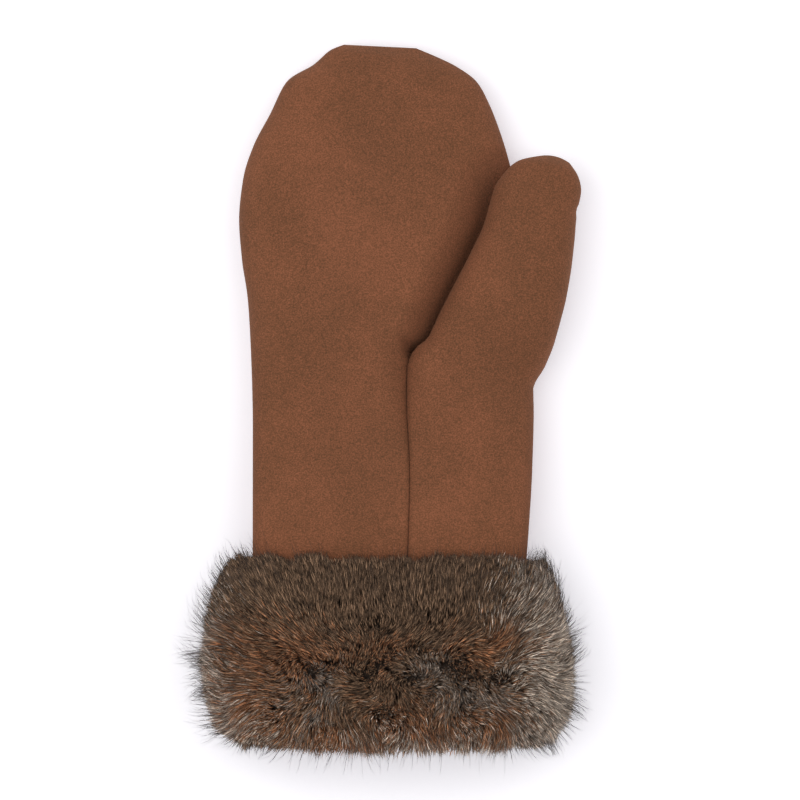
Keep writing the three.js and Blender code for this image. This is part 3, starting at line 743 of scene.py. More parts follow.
def make_thumb_back():
    rows = np.concatenate([[SEAM_GAP], THUMB_ROWS[1:]])
    along, turn = np.meshgrid(rows, np.linspace(1, 0, THUMB_COLUMNS + 1), indexing="ij")
    faces = [thumb_face(along, turn, -1, inset) for inset in (0, LEATHER_WALL)]
    return wall("thumb_under", *faces, thumb_edges(turn))


panels = {
    "back_panel": make_back(),
    "palm_panel": make_palm(),
    "thumb_panel": make_thumb_panel(),
    "thumb_back": make_thumb_back(),
}

# %% [markdown]
# ## Writing node trees as sums
# A material or a Geometry Nodes tree is easier to read as a formula than as a list of links. This small
# class wraps a node's output, so that a sum or a product of two of them adds the Math node. Every other
# node comes from one method, which takes the node's type, its settings and what goes into its sockets.

# %% A small language for nodes
class Output:
    """An output of a node. Arithmetic on it adds Math nodes to its tree."""

    def __init__(self, nodes, socket):
        self.nodes = nodes
        self.socket = socket

    def of(self, key):
        """Another output of the same node."""
        return Output(self.nodes, self.socket.node.outputs[key])

    def __add__(self, other):
        return self.nodes.maths("ADD", self, other)

    def __sub__(self, other):
        return self.nodes.maths("SUBTRACT", self, other)

    def __rsub__(self, other):
        return self.nodes.maths("SUBTRACT", other, self)

    def __mul__(self, other):
        return self.nodes.maths("MULTIPLY", self, other)

    def __truediv__(self, other):
        return self.nodes.maths("DIVIDE", self, other)

    def __rtruediv__(self, other):
        return self.nodes.maths("DIVIDE", other, self)

    def __pow__(self, other):
        return self.nodes.maths("POWER", self, other)

    def __lt__(self, other):
        return self.nodes.maths("LESS_THAN", self, other)

    def __gt__(self, other):
        return self.nodes.maths("GREATER_THAN", self, other)

    __radd__ = __add__
    __rmul__ = __mul__


class Nodes:
    """A node tree with one way to add a node."""

    def __init__(self, tree):
        self.tree = tree

    def add(self, kind, settings=None, sockets=None, output=0):
        """Adds a node. settings come first, and stops is the list of a colour ramp's stops."""
        node = self.tree.nodes.new(kind)
        for name, value in (settings or {}).items():
            if name == "stops":
                ramp = node.color_ramp.elements
                while len(ramp) < len(value):
                    ramp.new(1)
                for element, (place, colour) in zip(ramp, value):
                    element.position = place
                    element.color = colour
            else:
                setattr(node, name, value)
        for key, value in (sockets or {}).items():
            if isinstance(value, Output):
                self.tree.links.new(value.socket, node.inputs[key])
            else:
                node.inputs[key].default_value = value
        return Output(self, node.outputs[output]) if len(node.outputs) else node

    def maths(self, operation, *values):
        return self.add("ShaderNodeMath", {"operation": operation}, dict(enumerate(values)))

    def vector(self, operation, *values):
        """Vector maths. A number goes into the Scale socket."""
        sockets = {}
        for i, value in enumerate(values):
            is_scale = operation == "SCALE" and i == 1
            sockets["Scale" if is_scale else i] = value
        return self.add("ShaderNodeVectorMath", {"operation": operation}, sockets)

    def mix(self, share, a, b, mode="MIX"):
        """A mix of two colours."""
        settings = {"data_type": "RGBA", "blend_type": mode}
        return self.add("ShaderNodeMix", settings, {0: share, 6: a, 7: b}, output=2)

    def between(self, value, low, high):
        """0 below low, 1 above high and smooth between them."""
        settings = {"interpolation_type": "SMOOTHSTEP"}
        return self.add("ShaderNodeMapRange", settings, {"Value": value, "From Min": low, "From Max": high})


def linear(red, green, blue):
    """A colour as a screen shows it, from 0 to 255, to the linear colour that nodes use."""
    parts = [c / 255 for c in (red, green, blue)]
    return tuple(c / 12.92 if c <= 0.04045 else ((c + 0.055) / 1.055) ** 2.4 for c in parts) + (1,)


def new_material(name, shader):
    """A material with a Principled shader. shader holds the values of its sockets."""
    material = bpy.data.materials.new(name)
    material.use_nodes = True
    nodes = Nodes(material.node_tree)
    principled = material.node_tree.nodes["Principled BSDF"]
    for key, value in shader.items():
        principled.inputs[key].default_value = value
    return material, nodes, principled


def into(principled, key, value):
    """Links a value to a socket of the shader."""
    value.nodes.tree.links.new(value.socket, principled.inputs[key])


print("mid grey on a screen is", round(linear(128, 128, 128)[0], 3), "to a node")

# %% [markdown]
# ## Suede
# Suede is leather with its surface brushed up into a short nap. It has no shine of its own, only a soft
# sheen at a low angle, and it shows where the nap was last stroked. Three sizes of noise make that: broad
# stroked patches, a mottle of a few millimetres, and a grain of half a millimetre that also lifts the
# surface. Near a seam the nap is worn and a little darker, and the inner face is paler flesh.

# %% The suede
SUEDE_DARK = linear(95, 64, 44)
SUEDE = linear(121, 77, 53)
SUEDE_LIGHT = linear(146, 91, 65)
SUEDE_FLESH = linear(140, 108, 84)
SUEDE_SEAM = linear(80, 48, 32)


SUEDE_SHEEN = linear(190, 150, 120)
NAP = (
    # noise, per metre, roughness, where it starts and is full, share of the tone
    ("stroked", 26, 0.6, (0.35, 0.68), 0.14),
    ("mottle", 330, 0.6, (0.32, 0.7), 0.06),
    ("fine", 1700, 0.8, (0.32, 0.68), 0.56),
)
NAP_LEAST = 0.12
SEAM_WEAR = 0.3
FLESH_SHOWN = 0.8
FINE_RELIEF, MOTTLE_RELIEF = 0.7, 0.3
NAP_BUMP = {"Strength": 0.35, "Distance": 0.0006}


def make_suede():
    look = {"Roughness": 0.95, "Sheen Weight": 0.2, "Sheen Roughness": 0.5, "Sheen Tint": SUEDE_SHEEN}
    material, nodes, principled = new_material("suede", {**look, "Specular IOR Level": 0.12})
    place = nodes.add("ShaderNodeTexCoord").of("Object")
    raw, clear, tone = {}, {}, NAP_LEAST
    for noise_name, per_metre, roughness, (start, full), share in NAP:
        sockets = {"Vector": place, "Scale": per_metre, "Detail": 3, "Roughness": roughness}
        raw[noise_name] = nodes.add("ShaderNodeTexNoise", None, sockets)
        clear[noise_name] = nodes.between(raw[noise_name], start, full)
        tone = tone + clear[noise_name] * share
    stops = [(0.2, SUEDE_DARK), (0.5, SUEDE), (0.8, SUEDE_LIGHT)]
    nap = nodes.add("ShaderNodeValToRGB", {"stops": stops}, {0: tone})
    flesh = nodes.add("ShaderNodeAttribute", {"attribute_name": "inside"}).of("Fac")
    seam = nodes.add("ShaderNodeAttribute", {"attribute_name": "near_seam"}).of("Fac")
    colour = nodes.mix(seam * SEAM_WEAR, nap, SUEDE_SEAM)
    into(principled, "Base Color", nodes.mix(flesh * FLESH_SHOWN, colour, SUEDE_FLESH))
    height = raw["fine"] * FINE_RELIEF + clear["mottle"] * MOTTLE_RELIEF
    into(principled, "Normal", nodes.add("ShaderNodeBump", None, {**NAP_BUMP, "Height": height}))
    return material


def dress(piece, node):
    """Parents a piece to the root body and hides the solid that it stands for."""
    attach(piece, "root")
    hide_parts(node)


suede = make_suede()
for node, panel in panels.items():
    panel.data.materials.append(suede)
    dress(panel, node)
print("suede on", len(panels), "panels")

# %% [markdown]
# ## The pelt
# Under the long hairs the fur has a dense woolly underfur on a strip of pelt, sewn round the leather tube
# and turned in over its end. It is one closed ring, made from the same profile as the solid that it
# replaces, but drawn in so that the hairs have room to reach the solid's surface.

# %% The pelt's surface
PARTING_Y = -44.0
UNDERFUR_LENGTH = 0.88
UNDERFUR_DEPTH = 0.7
UNDERFUR_LEAST = 1.9
PELT_RIM = -3.5
HEM_Y = -TUBE_LENGTH - SEAM_GAP
TURNED_IN = (
    # y, depth outside the leather tube
    (PELT_RIM, PELT_CLEARANCE),
    (HEM_Y, PELT_CLEARANCE),
    (HEM_Y, -LEATHER_WALL),
    (HEM_Y - HEM_LIP, -LEATHER_WALL),
)
TABLE_CLEARANCE = 0.2
AROUND = 150
PROFILE_STEPS = 54


def ring_point(y, angle, depth):
    """Points outside the wrist tube by depth, at an angle round it."""
    section = hand_section(np.where(y > 0, WRIST_ROW, MOUTH_ROW))
    share = share_at(angle)
    side = np.where(np.sin(angle) < 0, -1, 1)
    half = (section["right"][..., 0] - section["left"][..., 0]) / 2 + depth
    middle = (section["right"][..., 0] + section["left"][..., 0]) / 2
    height = np.where(side > 0, section["rise"], section["drop"]) + depth + SEAM_GAP / 2
    seam = (section["seam_left"] + section["seam_right"]) / 2
    x = middle + half * (2 * share - 1)
    return np.stack([x, y + 0 * share, seam + side * height * swell(share)], -1)


def profile(share, kind):
    """The fur's outer profile, or the underfur's, at a share of the way from the hand to the mouth."""
    position = share * (len(FUR_PROFILE["y"]) - 1)
    y = -CUFF_LENGTH * read(FUR_PROFILE["y"], position)
    depth = FUR_DEPTH * read(FUR_PROFILE["depth"], position)
    if kind == "outer":
        return y, depth
    drawn_in = PARTING_Y + (y - PARTING_Y) * UNDERFUR_LENGTH
    return drawn_in, np.maximum(depth * UNDERFUR_DEPTH, UNDERFUR_LEAST)


def surface(kind, angle, share):
    """Points of the fur's outer form, or of the underfur."""
    y, depth = profile(share, kind)
    return ring_point(y, angle, depth)

# %% The underfur
def grid_faces(rows, columns):
    """The corners of each cell of a grid of points."""
    number = np.arange(rows * columns).reshape(rows, columns)
    return np.stack([number[:-1, :-1], number[1:, :-1], number[1:, 1:], number[:-1, 1:]], -1).reshape(-1, 4)


def make_underfur():
    angle = np.linspace(0, 2 * np.pi, AROUND, endpoint=False)
    lines = [ring_point(np.full(AROUND, y), angle, depth) for y, depth in TURNED_IN]
    lines += [surface("underfur", angle, np.full(AROUND, s)) for s in np.linspace(1, 0, PROFILE_STEPS)]
    points = np.array(lines)
    points[..., 2] = np.maximum(points[..., 2], TABLE_CLEARANCE)
    number = np.arange(len(points) * AROUND).reshape(-1, AROUND)
    right, down = np.roll(number, -1, 1), np.roll(number, -1, 0)
    faces = np.stack([number, right, np.roll(right, -1, 0), down], -1).reshape(-1, 4)
    mesh = bpy.data.meshes.new("underfur")
    mesh.from_pydata(in_frame(points).reshape(-1, 3).tolist(), [], faces.tolist())
    mesh.shade_smooth()
    return add_object("underfur", mesh)


underfur = make_underfur()
print("underfur:", len(underfur.data.polygons), "faces")

# %% [markdown]
# ## How the hair lies
# The fur is combed away from a parting that runs across the middle of the cuff: up over the leather
# towards the fingers, down over the mouth, and outwards at both ends. A soft swirl keeps the hairs from
# lying as straight as the teeth of a comb. Each root gets an arrow from the underfur to the outer form
# of the cuff, shifted the way that the hair is combed there, so the tips end close to the form that the
# solid gave. Patches of blue grey, rust or pale fur are listed by pixels, and the fur is parted a little
# where it is blue grey.

# %% Colour patches
RUST, BLUE, PALE = "rust", "blue", "pale"
PATCHES = (
    # kind, middle pixel, half width and height in pixels, share of the hairs
    (RUST, (300, 660), (54, 24), 0.85),
    (RUST, (388, 652), (24, 12), 0.6),
    (RUST, (486, 650), (36, 18), 0.75),
    (RUST, (330, 736), (48, 18), 0.7),
    (RUST, (262, 705), (48, 40), 0.6),
    (RUST, (425, 722), (64, 28), 0.65),
    (RUST, (250, 640), (34, 26), 0.4),
    (RUST, (500, 716), (22, 22), 0.6),
    (BLUE, (306, 674), (24, 11), 0.85),
    (BLUE, (330, 686), (16, 10), 0.7),
    (BLUE, (290, 699), (10, 9), 0.6),
    (BLUE, (318, 711), (11, 9), 0.8),
    (BLUE, (438, 672), (20, 15), 0.8),
    (BLUE, (476, 695), (32, 16), 0.8),
    (BLUE, (409, 737), (9, 7), 0.7),
    (PALE, (540, 592), (32, 36), 0.5),
    (PALE, (562, 695), (44, 78), 1.0),
    (PALE, (552, 640), (26, 30), 0.6),
    (PALE, (214, 670), (22, 60), 0.7),
    (PALE, (238, 718), (38, 32), 0.95),
    (PALE, (440, 740), (110, 20), 0.9),
    (PALE, (300, 742), (80, 16), 0.5),
)


def patch_share(points, kind):
    """The share of the hairs at plan points that are of a kind."""
    rest = np.ones(points.shape[:-1])
    for patch, middle, half, share in PATCHES:
        if patch == kind:
            offset = (points - plan(*middle)) / (np.array(half) * MM_PER_PIXEL)
            rest *= 1 - share * np.exp(-((offset**2).sum(-1)))
    return 1 - rest


print("patches:", len(PATCHES))

# %% Combing
PARTING_ENDS = ((318, 672), (496, 672))
COMB_START = 28.0
# size in mm, height, seed
SWIRL_WAVES = (16, 1, 21)
SWIRL = 0.68
SWIRL_CALM = 0.25
CALM_START, CALM_END = 8, 22
NEARBY = 1e-3


def outward(angle, share):
    """Normals of the fur's outer form."""
    across = surface("outer", angle + NEARBY, share) - surface("outer", angle - NEARBY, share)
    ahead = surface("outer", angle, np.clip(share + NEARBY, 0, 1))
    behind = surface("outer", angle, np.clip(share - NEARBY, 0, 1))
    normal = unit(np.cross(across, ahead - behind))
    off_tube = surface("outer", angle, share) - ring_point(-CUFF_LENGTH / 2 + 0 * angle, angle, 0)
    return normal * np.sign((normal * off_tube).sum(-1))[..., None]


def swirl(points):
    """Arrows that flow along the lines of a smooth noise, so they never draw apart and open a gap."""
    slope = [waves(points + way, *SWIRL_WAVES) - waves(points - way, *SWIRL_WAVES) for way in np.eye(2)]
    return np.stack([slope[1], -slope[0]], -1) * SWIRL_WAVES[0] / 2


def comb(points):
    """The direction in plan in which the hair is combed: away from the parting, with a little swirl."""
    start, end = plan(*PARTING_ENDS[0]), plan(*PARTING_ENDS[1])
    away = off_line(points, start, end)
    distance = np.linalg.norm(away, axis=-1, keepdims=True)
    above = points[..., 1:] - start[1]
    strength = SWIRL * blend(1, SWIRL_CALM, smooth(CALM_START, CALM_END, above))
    return away / np.maximum(distance, COMB_START) + strength * swirl(points)


print("combed at the cuff's seam:", comb(np.zeros((1, 2))).round(2))

# %% Where the hairs end
COMB_SHIFT = 6.4
FRONT_SHIFT = -0.5
FRONT_END = 0.3
PARTED_DEPTH = 1.2
PARTED_START, PARTED_END = (0.1, 0.3), (1, 0.8)
MOUTH_CALM = 0.5
MOUTH_CALMING = (0.8, 0.95)
MOUTH_EDGE, HAND_EDGE = (0.8, 1), (0.2, 0)
# size in mm, height in mm, seed
RAGGED = (6, 3.2, 5)
MOUTH_WAVES = (17, 2, 14)
HAND_WAVES = (11, 5, 33)
OVERSHOOT = table(
    "share middle left right",
    (0, 0, 0, 0),
    (0.3, -2.4, -0.6, -4),
    (0.55, 0.2, 0.2, -1.2),
    (0.85, 1.4, -0.5, 1.2),
    (1, 5, 1, 1),
)


def parting(outer, share):
    """How far the fur is parted: in its blue patches, but not at the hand or the mouth."""
    return patch_share(outer[..., :2], BLUE) * smooth(*PARTED_START, share) * smooth(*PARTED_END, share)


def hair_tips(angle, share, root, outer, normal):
    """The tips of the hairs: on the outer form, shifted the way they are combed, with wavy edges."""
    combed = np.concatenate([comb(outer[..., :2]), np.zeros(angle.shape + (1,))], -1)
    combed = combed - normal * (combed * normal).sum(-1, keepdims=True)
    shift = blend(FRONT_SHIFT, COMB_SHIFT, smooth(0, FRONT_END, share)) + waves(root[..., :2], *RAGGED)
    shift *= 1 - MOUTH_CALM * smooth(*MOUTH_CALMING, share)
    row = row_where(OVERSHOOT["share"], share)
    beside = np.where(np.cos(angle) > 0, read(OVERSHOOT["left"], row), read(OVERSHOOT["right"], row))
    over = blend(read(OVERSHOOT["middle"], row), beside, np.cos(angle) ** 2)
    over -= PARTED_DEPTH * parting(outer, share)
    over += smooth(*MOUTH_EDGE, share) * waves(root[..., :2], *MOUTH_WAVES)
    over += smooth(*HAND_EDGE, share) * waves(root[..., :2], *HAND_WAVES)
    return outer + combed * shift[..., None] + normal * over[..., None]


def hair_kinds(outer, share):
    """The shares of the hairs that are rust, rust or blue, and of any patch at all."""
    points, together = outer[..., :2], 1 - parting(outer, share)
    rust = patch_share(points, RUST) * together
    coloured = rust + patch_share(points, BLUE) * (1 - rust)
    pale = patch_share(points, PALE) * together * (1 - rust)
    return {"rust": rust, "rust_or_blue": coloured, "any_patch": np.clip(coloured + pale, 0, 1)}

# %% Sheets of roots
HEM_ROWS = 5
HEM_HAIR = 5.5
HEM_LEAN = 0.35
HEM_PALE = 0.25


def root_sheet(name, root, reach, normal, numbers):
    """A grid of roots as a mesh that keeps the arrows and the numbers that its hairs follow."""
    mesh = bpy.data.meshes.new(name)
    mesh.from_pydata(in_frame(root).reshape(-1, 3).tolist(), [], grid_faces(*root.shape[:2]).tolist())
    for label, vectors in (("reach", reach * MM), ("outward", normal)):
        layer = mesh.attributes.new(label, "FLOAT_VECTOR", "POINT")
        layer.data.foreach_set("vector", vectors.astype(np.float32).ravel())
    for label, values in numbers.items():
        store(mesh, label, values)
    return add_object(name, mesh)


def crowding(angle, share, base, sides=0.0, mouth=0.0, mouth_from=0.9, hand=0.0, hand_to=0.1):
    """How crowded the hairs are: more so at both sides, towards the mouth and by the hand."""
    ends = mouth * smooth(mouth_from, 1, share) + hand * smooth(hand_to, 0, share)
    return base + sides * np.cos(angle) ** 4 + ends


def hair_surface(name, angles, shares, crowd):
    """A sheet of the underfur between two angles, with all that its hairs follow."""
    angle, share = np.meshgrid(np.linspace(*angles), np.linspace(*shares), indexing="ij")
    root, outer = surface("underfur", angle, share), surface("outer", angle, share)
    normal = outward(angle, share)
    reach = hair_tips(angle, share, root, outer, normal) - root
    numbers = {**hair_kinds(outer, share), "crowding": crowding(angle, share, **crowd)}
    return root_sheet(name, root, reach, normal, numbers)


def hem_surface(name):
    """A sheet on the pelt's edge inside the mouth, where short hairs stand out of it."""
    around, down = np.linspace(0, 2 * np.pi, AROUND + 1), np.linspace(0, 1, HEM_ROWS)
    angle, share = np.meshgrid(around, down, indexing="ij")
    lip = ring_point(np.full(angle.shape, HEM_Y - HEM_LIP), angle, -LEATHER_WALL)
    edge = surface("underfur", angle, np.ones(angle.shape))
    lean = HEM_LEAN * unit((edge - lip) * (1, 0, 1))
    reach = HEM_HAIR * unit(lean + (0, -1, 0))
    none = np.zeros(angle.shape)
    numbers = {"rust": none, "rust_or_blue": none, "any_patch": none + HEM_PALE, "crowding": none + 1}
    return root_sheet(name, blend(lip, edge, share[..., None]), reach, unit(reach), numbers)


print("the hem's hair is", HEM_HAIR, "mm long")

# %% [markdown]
# ## A hair
# Each hair is a closed needle of a few faces that stands for a small bundle of real hairs, which are far
# too fine to model one by one. Its map runs from root to tip, so the dark root, the pale band and the
# dark tip of wild fur can be painted along it.

# %% The needle that every hair is a copy of
NEEDLE_SIDES = 3


def make_needle(name, heights, widths):
    """A needle along Z, one unit long and pointed at both ends, with a map from root to tip."""
    turns = [2 * math.pi * k / NEEDLE_SIDES for k in range(NEEDLE_SIDES)]
    rings = [(width, height, turn) for height, width in zip(heights, widths) for turn in turns]
    points = [(width * math.cos(turn), width * math.sin(turn), height) for width, height, turn in rings]
    points += [(0, 0, 0), (0, 0, 1)]
    root, tip = len(points) - 2, len(points) - 1
    last = (len(heights) - 1) * NEEDLE_SIDES
    faces = []
    for k in range(NEEDLE_SIDES):
        after = (k + 1) % NEEDLE_SIDES
        faces += [(root, after, k), (last + k, last + after, tip)]
        for i in range(0, last, NEEDLE_SIDES):
            above, beside = i + k + NEEDLE_SIDES, i + after + NEEDLE_SIDES
            faces += [(i + k, i + after, beside), (i + k, beside, above)]
    mesh = bpy.data.meshes.new(name)
    mesh.from_pydata(points, [], faces)
    layer = mesh.uv_layers.new(name="OFBake")
    for loop in mesh.loops:
        x, y, z = points[loop.vertex_index]
        layer.data[loop.index].uv = (0.5 + 0.5 * x, z)
    mesh.shade_smooth()
    return add_object(name, mesh)


needle = make_needle("needle", (0.6,), (1,))
long_needle = make_needle("long_needle", (0.3, 0.7), (1, 0.7))
print("needle:", len(needle.data.polygons), "faces")

# %% [markdown]
# ## Growing the hair with Geometry Nodes
# Geometry Nodes scatter roots over a sheet of underfur, point a needle along each root's arrow and bend
# it outwards. Hairs stick together in small locks: a Voronoi texture gives every root the middle of its
# own cell, and the tip is drawn towards it. The last nodes make the copies real and give them their
# material.

# %% The tree's inputs, and the nodes it uses most
KINDS = ("plain", "pale", "blue", "rust")
KIND_BOUNDS = ("any_patch", "rust_or_blue", "rust")
HUE_MARGIN = 0.06
LEAST_THICK, MOST_THICK = 0.7, 1.25
MAP_WIDTH = 0.004
TREE_INPUTS = {
    "Geometry": "Geometry",
    "Needle": "Object",
    "Hairs per square metre": "Float",
    "Length": "Float",
    "Length variation": "Float",
    "Thickness": "Float",
    "Bend": "Float",
    "Stray": "Float",
    "Lock size": "Float",
    "Locking": "Float",
    "Floor": "Float",
    "Seed": "Int",
    "Material": "Material",
}


class HairNodes(Nodes):
    """Nodes that also read the tree's inputs and the fields on its points."""

    def __init__(self, tree):
        super().__init__(tree)
        self.given = self.add("NodeGroupInput")

    def random(self, seed, low=0.0, high=1.0):
        sockets = {2: low, 3: high, 8: self.given.of("Seed") + seed}
        return self.add("FunctionNodeRandomValue", {"data_type": "FLOAT"}, sockets, output=1)

    def field(self, name, kind="FLOAT"):
        return self.add("GeometryNodeInputNamedAttribute", {"data_type": kind}, {"Name": name})

    def keep(self, geometry, name, value, kind="FLOAT", domain="POINT"):
        settings = {"data_type": kind, "domain": domain}
        sockets = {"Geometry": geometry, "Name": name, "Value": value}
        return self.add("GeometryNodeStoreNamedAttribute", settings, sockets)

    def move(self, geometry, **how):
        """Moves geometry to a Position, or by an Offset."""
        return self.add("GeometryNodeSetPosition", None, {"Geometry": geometry, **how})


print("the tree has", len(TREE_INPUTS), "inputs")

# %% Roots and arrows
def plant(nodes):
    """Roots on the sheet, closer together where it is crowded."""
    density = nodes.given.of("Hairs per square metre") * nodes.field("crowding")
    sockets = {"Mesh": nodes.given.of("Geometry"), "Density": density, "Seed": nodes.given.of("Seed")}
    return nodes.add("GeometryNodeDistributePointsOnFaces", {"distribute_method": "RANDOM"}, sockets)


def aim(nodes):
    """The arrow of each hair: its root's own, of an uneven length, strayed and drawn into a lock."""
    given, reach = nodes.given, nodes.field("reach", "FLOAT_VECTOR")
    length = given.of("Length") * (1 + given.of("Length variation") * nodes.random(1, -1.0, 1.0))
    arrow = nodes.vector("SCALE", reach, length)
    corners = {0: (-1, -1, -1), 1: (1, 1, 1), 8: given.of("Seed") + 2}
    stray = nodes.add("FunctionNodeRandomValue", {"data_type": "FLOAT_VECTOR"}, corners)
    far = nodes.vector("LENGTH", reach).of("Value") * given.of("Stray")
    arrow = nodes.vector("ADD", arrow, nodes.vector("SCALE", stray, far))
    root = nodes.add("GeometryNodeInputPosition")
    cells = {"Vector": root, "Scale": 1 / given.of("Lock size")}
    middle = nodes.add("ShaderNodeTexVoronoi", None, cells).of("Position")
    to_middle = nodes.vector("SUBTRACT", middle, root)
    return nodes.vector("ADD", arrow, nodes.vector("SCALE", to_middle, given.of("Locking")))


def hue_of_kind(nodes):
    """The number of a hair's kind with its lightness after the point, over the number of kinds."""
    draw = nodes.random(3)
    kind = sum(draw < nodes.field(bound) for bound in KIND_BOUNDS)
    return (kind + HUE_MARGIN + (1 - 2 * HUE_MARGIN) * nodes.random(4)) / len(KINDS)

# %% From roots to hairs
def copy_needles(nodes, arrow):
    """A needle on every root, as long as its arrow and turned along it, made real."""
    given = nodes.given
    tall = nodes.vector("LENGTH", arrow).of("Value")
    bend = nodes.vector("SCALE", nodes.field("outward", "FLOAT_VECTOR"), tall * given.of("Bend"))
    points = nodes.keep(plant(nodes), "bend", bend, "FLOAT_VECTOR")
    points = nodes.keep(points, "hue", hue_of_kind(nodes))
    facing = nodes.add("FunctionNodeAlignRotationToVector", {"axis": "Z"}, {"Vector": arrow})
    thick = given.of("Thickness") * nodes.random(5, LEAST_THICK, MOST_THICK)
    size = nodes.add("ShaderNodeCombineXYZ", None, {0: thick, 1: thick, 2: tall})
    shape = nodes.add("GeometryNodeObjectInfo", None, {"Object": given.of("Needle")}).of("Geometry")
    sockets = {"Points": points, "Instance": shape, "Rotation": facing, "Scale": size}
    copies = nodes.add("GeometryNodeInstanceOnPoints", None, sockets)
    return nodes.add("GeometryNodeRealizeInstances", None, {"Geometry": copies})


def hair_tree():
    tree = bpy.data.node_groups.new("grow hair", "GeometryNodeTree")
    for name, kind in TREE_INPUTS.items():
        tree.interface.new_socket(name=name, in_out="INPUT", socket_type="NodeSocket" + kind)
    tree.interface.new_socket(name="Geometry", in_out="OUTPUT", socket_type="NodeSocketGeometry")
    nodes = HairNodes(tree)
    hairs = copy_needles(nodes, aim(nodes))
    own_map = nodes.add("ShaderNodeSeparateXYZ", None, {0: nodes.field("OFBake", "FLOAT_VECTOR")})
    along = own_map.of("Y")
    # the bow is full halfway along the hair
    bow = nodes.vector("SCALE", nodes.field("bend", "FLOAT_VECTOR"), along * (1 - along) * 4)
    hairs = nodes.move(hairs, Offset=bow)
    place = nodes.add("ShaderNodeSeparateXYZ", None, {0: nodes.add("GeometryNodeInputPosition")})
    height = nodes.maths("MAXIMUM", place.of("Z"), nodes.given.of("Floor"))
    above = nodes.add("ShaderNodeCombineXYZ", None, {0: place, 1: place.of("Y"), 2: height})
    hairs = nodes.move(hairs, Position=above)
    hue = nodes.field("hue") + own_map * MAP_WIDTH
    new_map = nodes.add("ShaderNodeCombineXYZ", None, {0: hue, 1: along})
    hairs = nodes.keep(hairs, "OFBake", new_map, "FLOAT2", "CORNER")
    sockets = {"Geometry": hairs, "Material": nodes.given.of("Material")}
    nodes.add("NodeGroupOutput", None, {"Geometry": nodes.add("GeometryNodeSetMaterial", None, sockets)})
    return tree


grow = hair_tree()


def grow_hair(name, sheet, inputs):
    """Hair on a sheet of roots as a plain mesh. inputs are values for the tree's named inputs."""
    modifier = sheet.modifiers.new("hair", "NODES")
    modifier.node_group = grow
    for item in grow.interface.items_tree:
        if item.in_out == "INPUT" and item.name in inputs:
            modifier[item.identifier] = inputs[item.name]
    depsgraph = bpy.context.evaluated_depsgraph_get()
    grown = sheet.evaluated_get(depsgraph)
    mesh = bpy.data.meshes.new_from_object(grown, preserve_all_data_layers=True, depsgraph=depsgraph)
    mesh.name = name
    for spare in ("bend", "hue", "crowding", "reach", "outward", *KIND_BOUNDS):
        if spare in mesh.attributes:
            mesh.attributes.remove(mesh.attributes[spare])
    sheet.modifiers.remove(modifier)
    bpy.data.objects.remove(sheet)
    hair = add_object(name, mesh)
    print(name, len(mesh.polygons), "faces")
    return hair

# %% [markdown]
# ## The colours of the fur
# Wild fur is banded: a slate or dark root, a brown middle, a pale band and a dark tip. Four kinds of
# hair are mixed over the cuff, and each has its own ramp from root to tip. Guard hairs have a darker one
# of their own. The map's first number says which kind a hair is and how light it is, and its second
# number runs along it.

# %% The hair's material
PLAIN_RAMP = (
    (0, (46, 36, 30)),
    (0.46, (66, 50, 39)),
    (0.62, (166, 132, 104)),
    (0.78, (156, 124, 97)),
    (0.89, (50, 38, 30)),
)
PALE_RAMP = (
    (0, (124, 110, 100)),
    (0.42, (200, 182, 166)),
    (0.65, (246, 228, 210)),
    (0.85, (248, 230, 212)),
    (1, (182, 162, 146)),
)
BLUE_RAMP = (
    (0, (142, 132, 126)),
    (0.45, (172, 157, 146)),
    (0.75, (180, 164, 151)),
    (0.9, (196, 176, 158)),
    (1, (146, 130, 117)),
)
RUST_RAMP = (
    (0, (76, 46, 33)),
    (0.4, (132, 83, 57)),
    (0.62, (194, 130, 88)),
    (0.8, (202, 148, 110)),
    (0.93, (82, 57, 45)),
)
GUARD_RAMP = ((0, (92, 74, 60)), (0.4, (84, 68, 56)), (0.7, (64, 52, 44)), (1, (40, 32, 28)))
HAIR_RAMPS = {"plain": PLAIN_RAMP, "pale": PALE_RAMP, "blue": BLUE_RAMP, "rust": RUST_RAMP}
LIGHT_LEAST = 0.32
LIGHT_RISE = 1.8
LIGHT_POWER = 3


def make_hair_material(name, ramps):
    """Banded hair. The map says which ramp a hair has and how light it is, and runs along it."""
    material, nodes, principled = new_material(name, {"Roughness": 0.55, "Specular IOR Level": 0.3})
    own_map = nodes.add("ShaderNodeUVMap", {"uv_map": "OFBake"})
    hue = nodes.add("ShaderNodeSeparateXYZ", None, {0: own_map})
    along = hue.of("Y")
    kind_and_tone = hue * len(KINDS)
    colour = None
    for number, stops in enumerate(ramps):
        settings = {"stops": [(place, linear(*shown)) for place, shown in stops]}
        ramp = nodes.add("ShaderNodeValToRGB", settings, {0: along})
        colour = ramp if colour is None else nodes.mix(kind_and_tone > number, colour, ramp)
    light = LIGHT_LEAST + LIGHT_RISE * nodes.maths("FRACT", kind_and_tone) ** LIGHT_POWER
    shade = nodes.add("ShaderNodeCombineXYZ", None, {0: light, 1: light, 2: light})
    into(principled, "Base Color", nodes.mix(1.0, colour, shade, "MULTIPLY"))
    return material

# %% The underfur's material
UNDERFUR_STOPS = ((0.3, (58, 46, 40)), (0.5, (78, 66, 58)), (0.7, (90, 84, 80)))
WOOL_BUMP = {"Strength": 0.8, "Distance": 0.0015}
PATCHES_PER_METRE, FIBRES_PER_METRE = 55, 1300
PATCHES_SHARE, FIBRES_SHARE = 0.6, 0.4


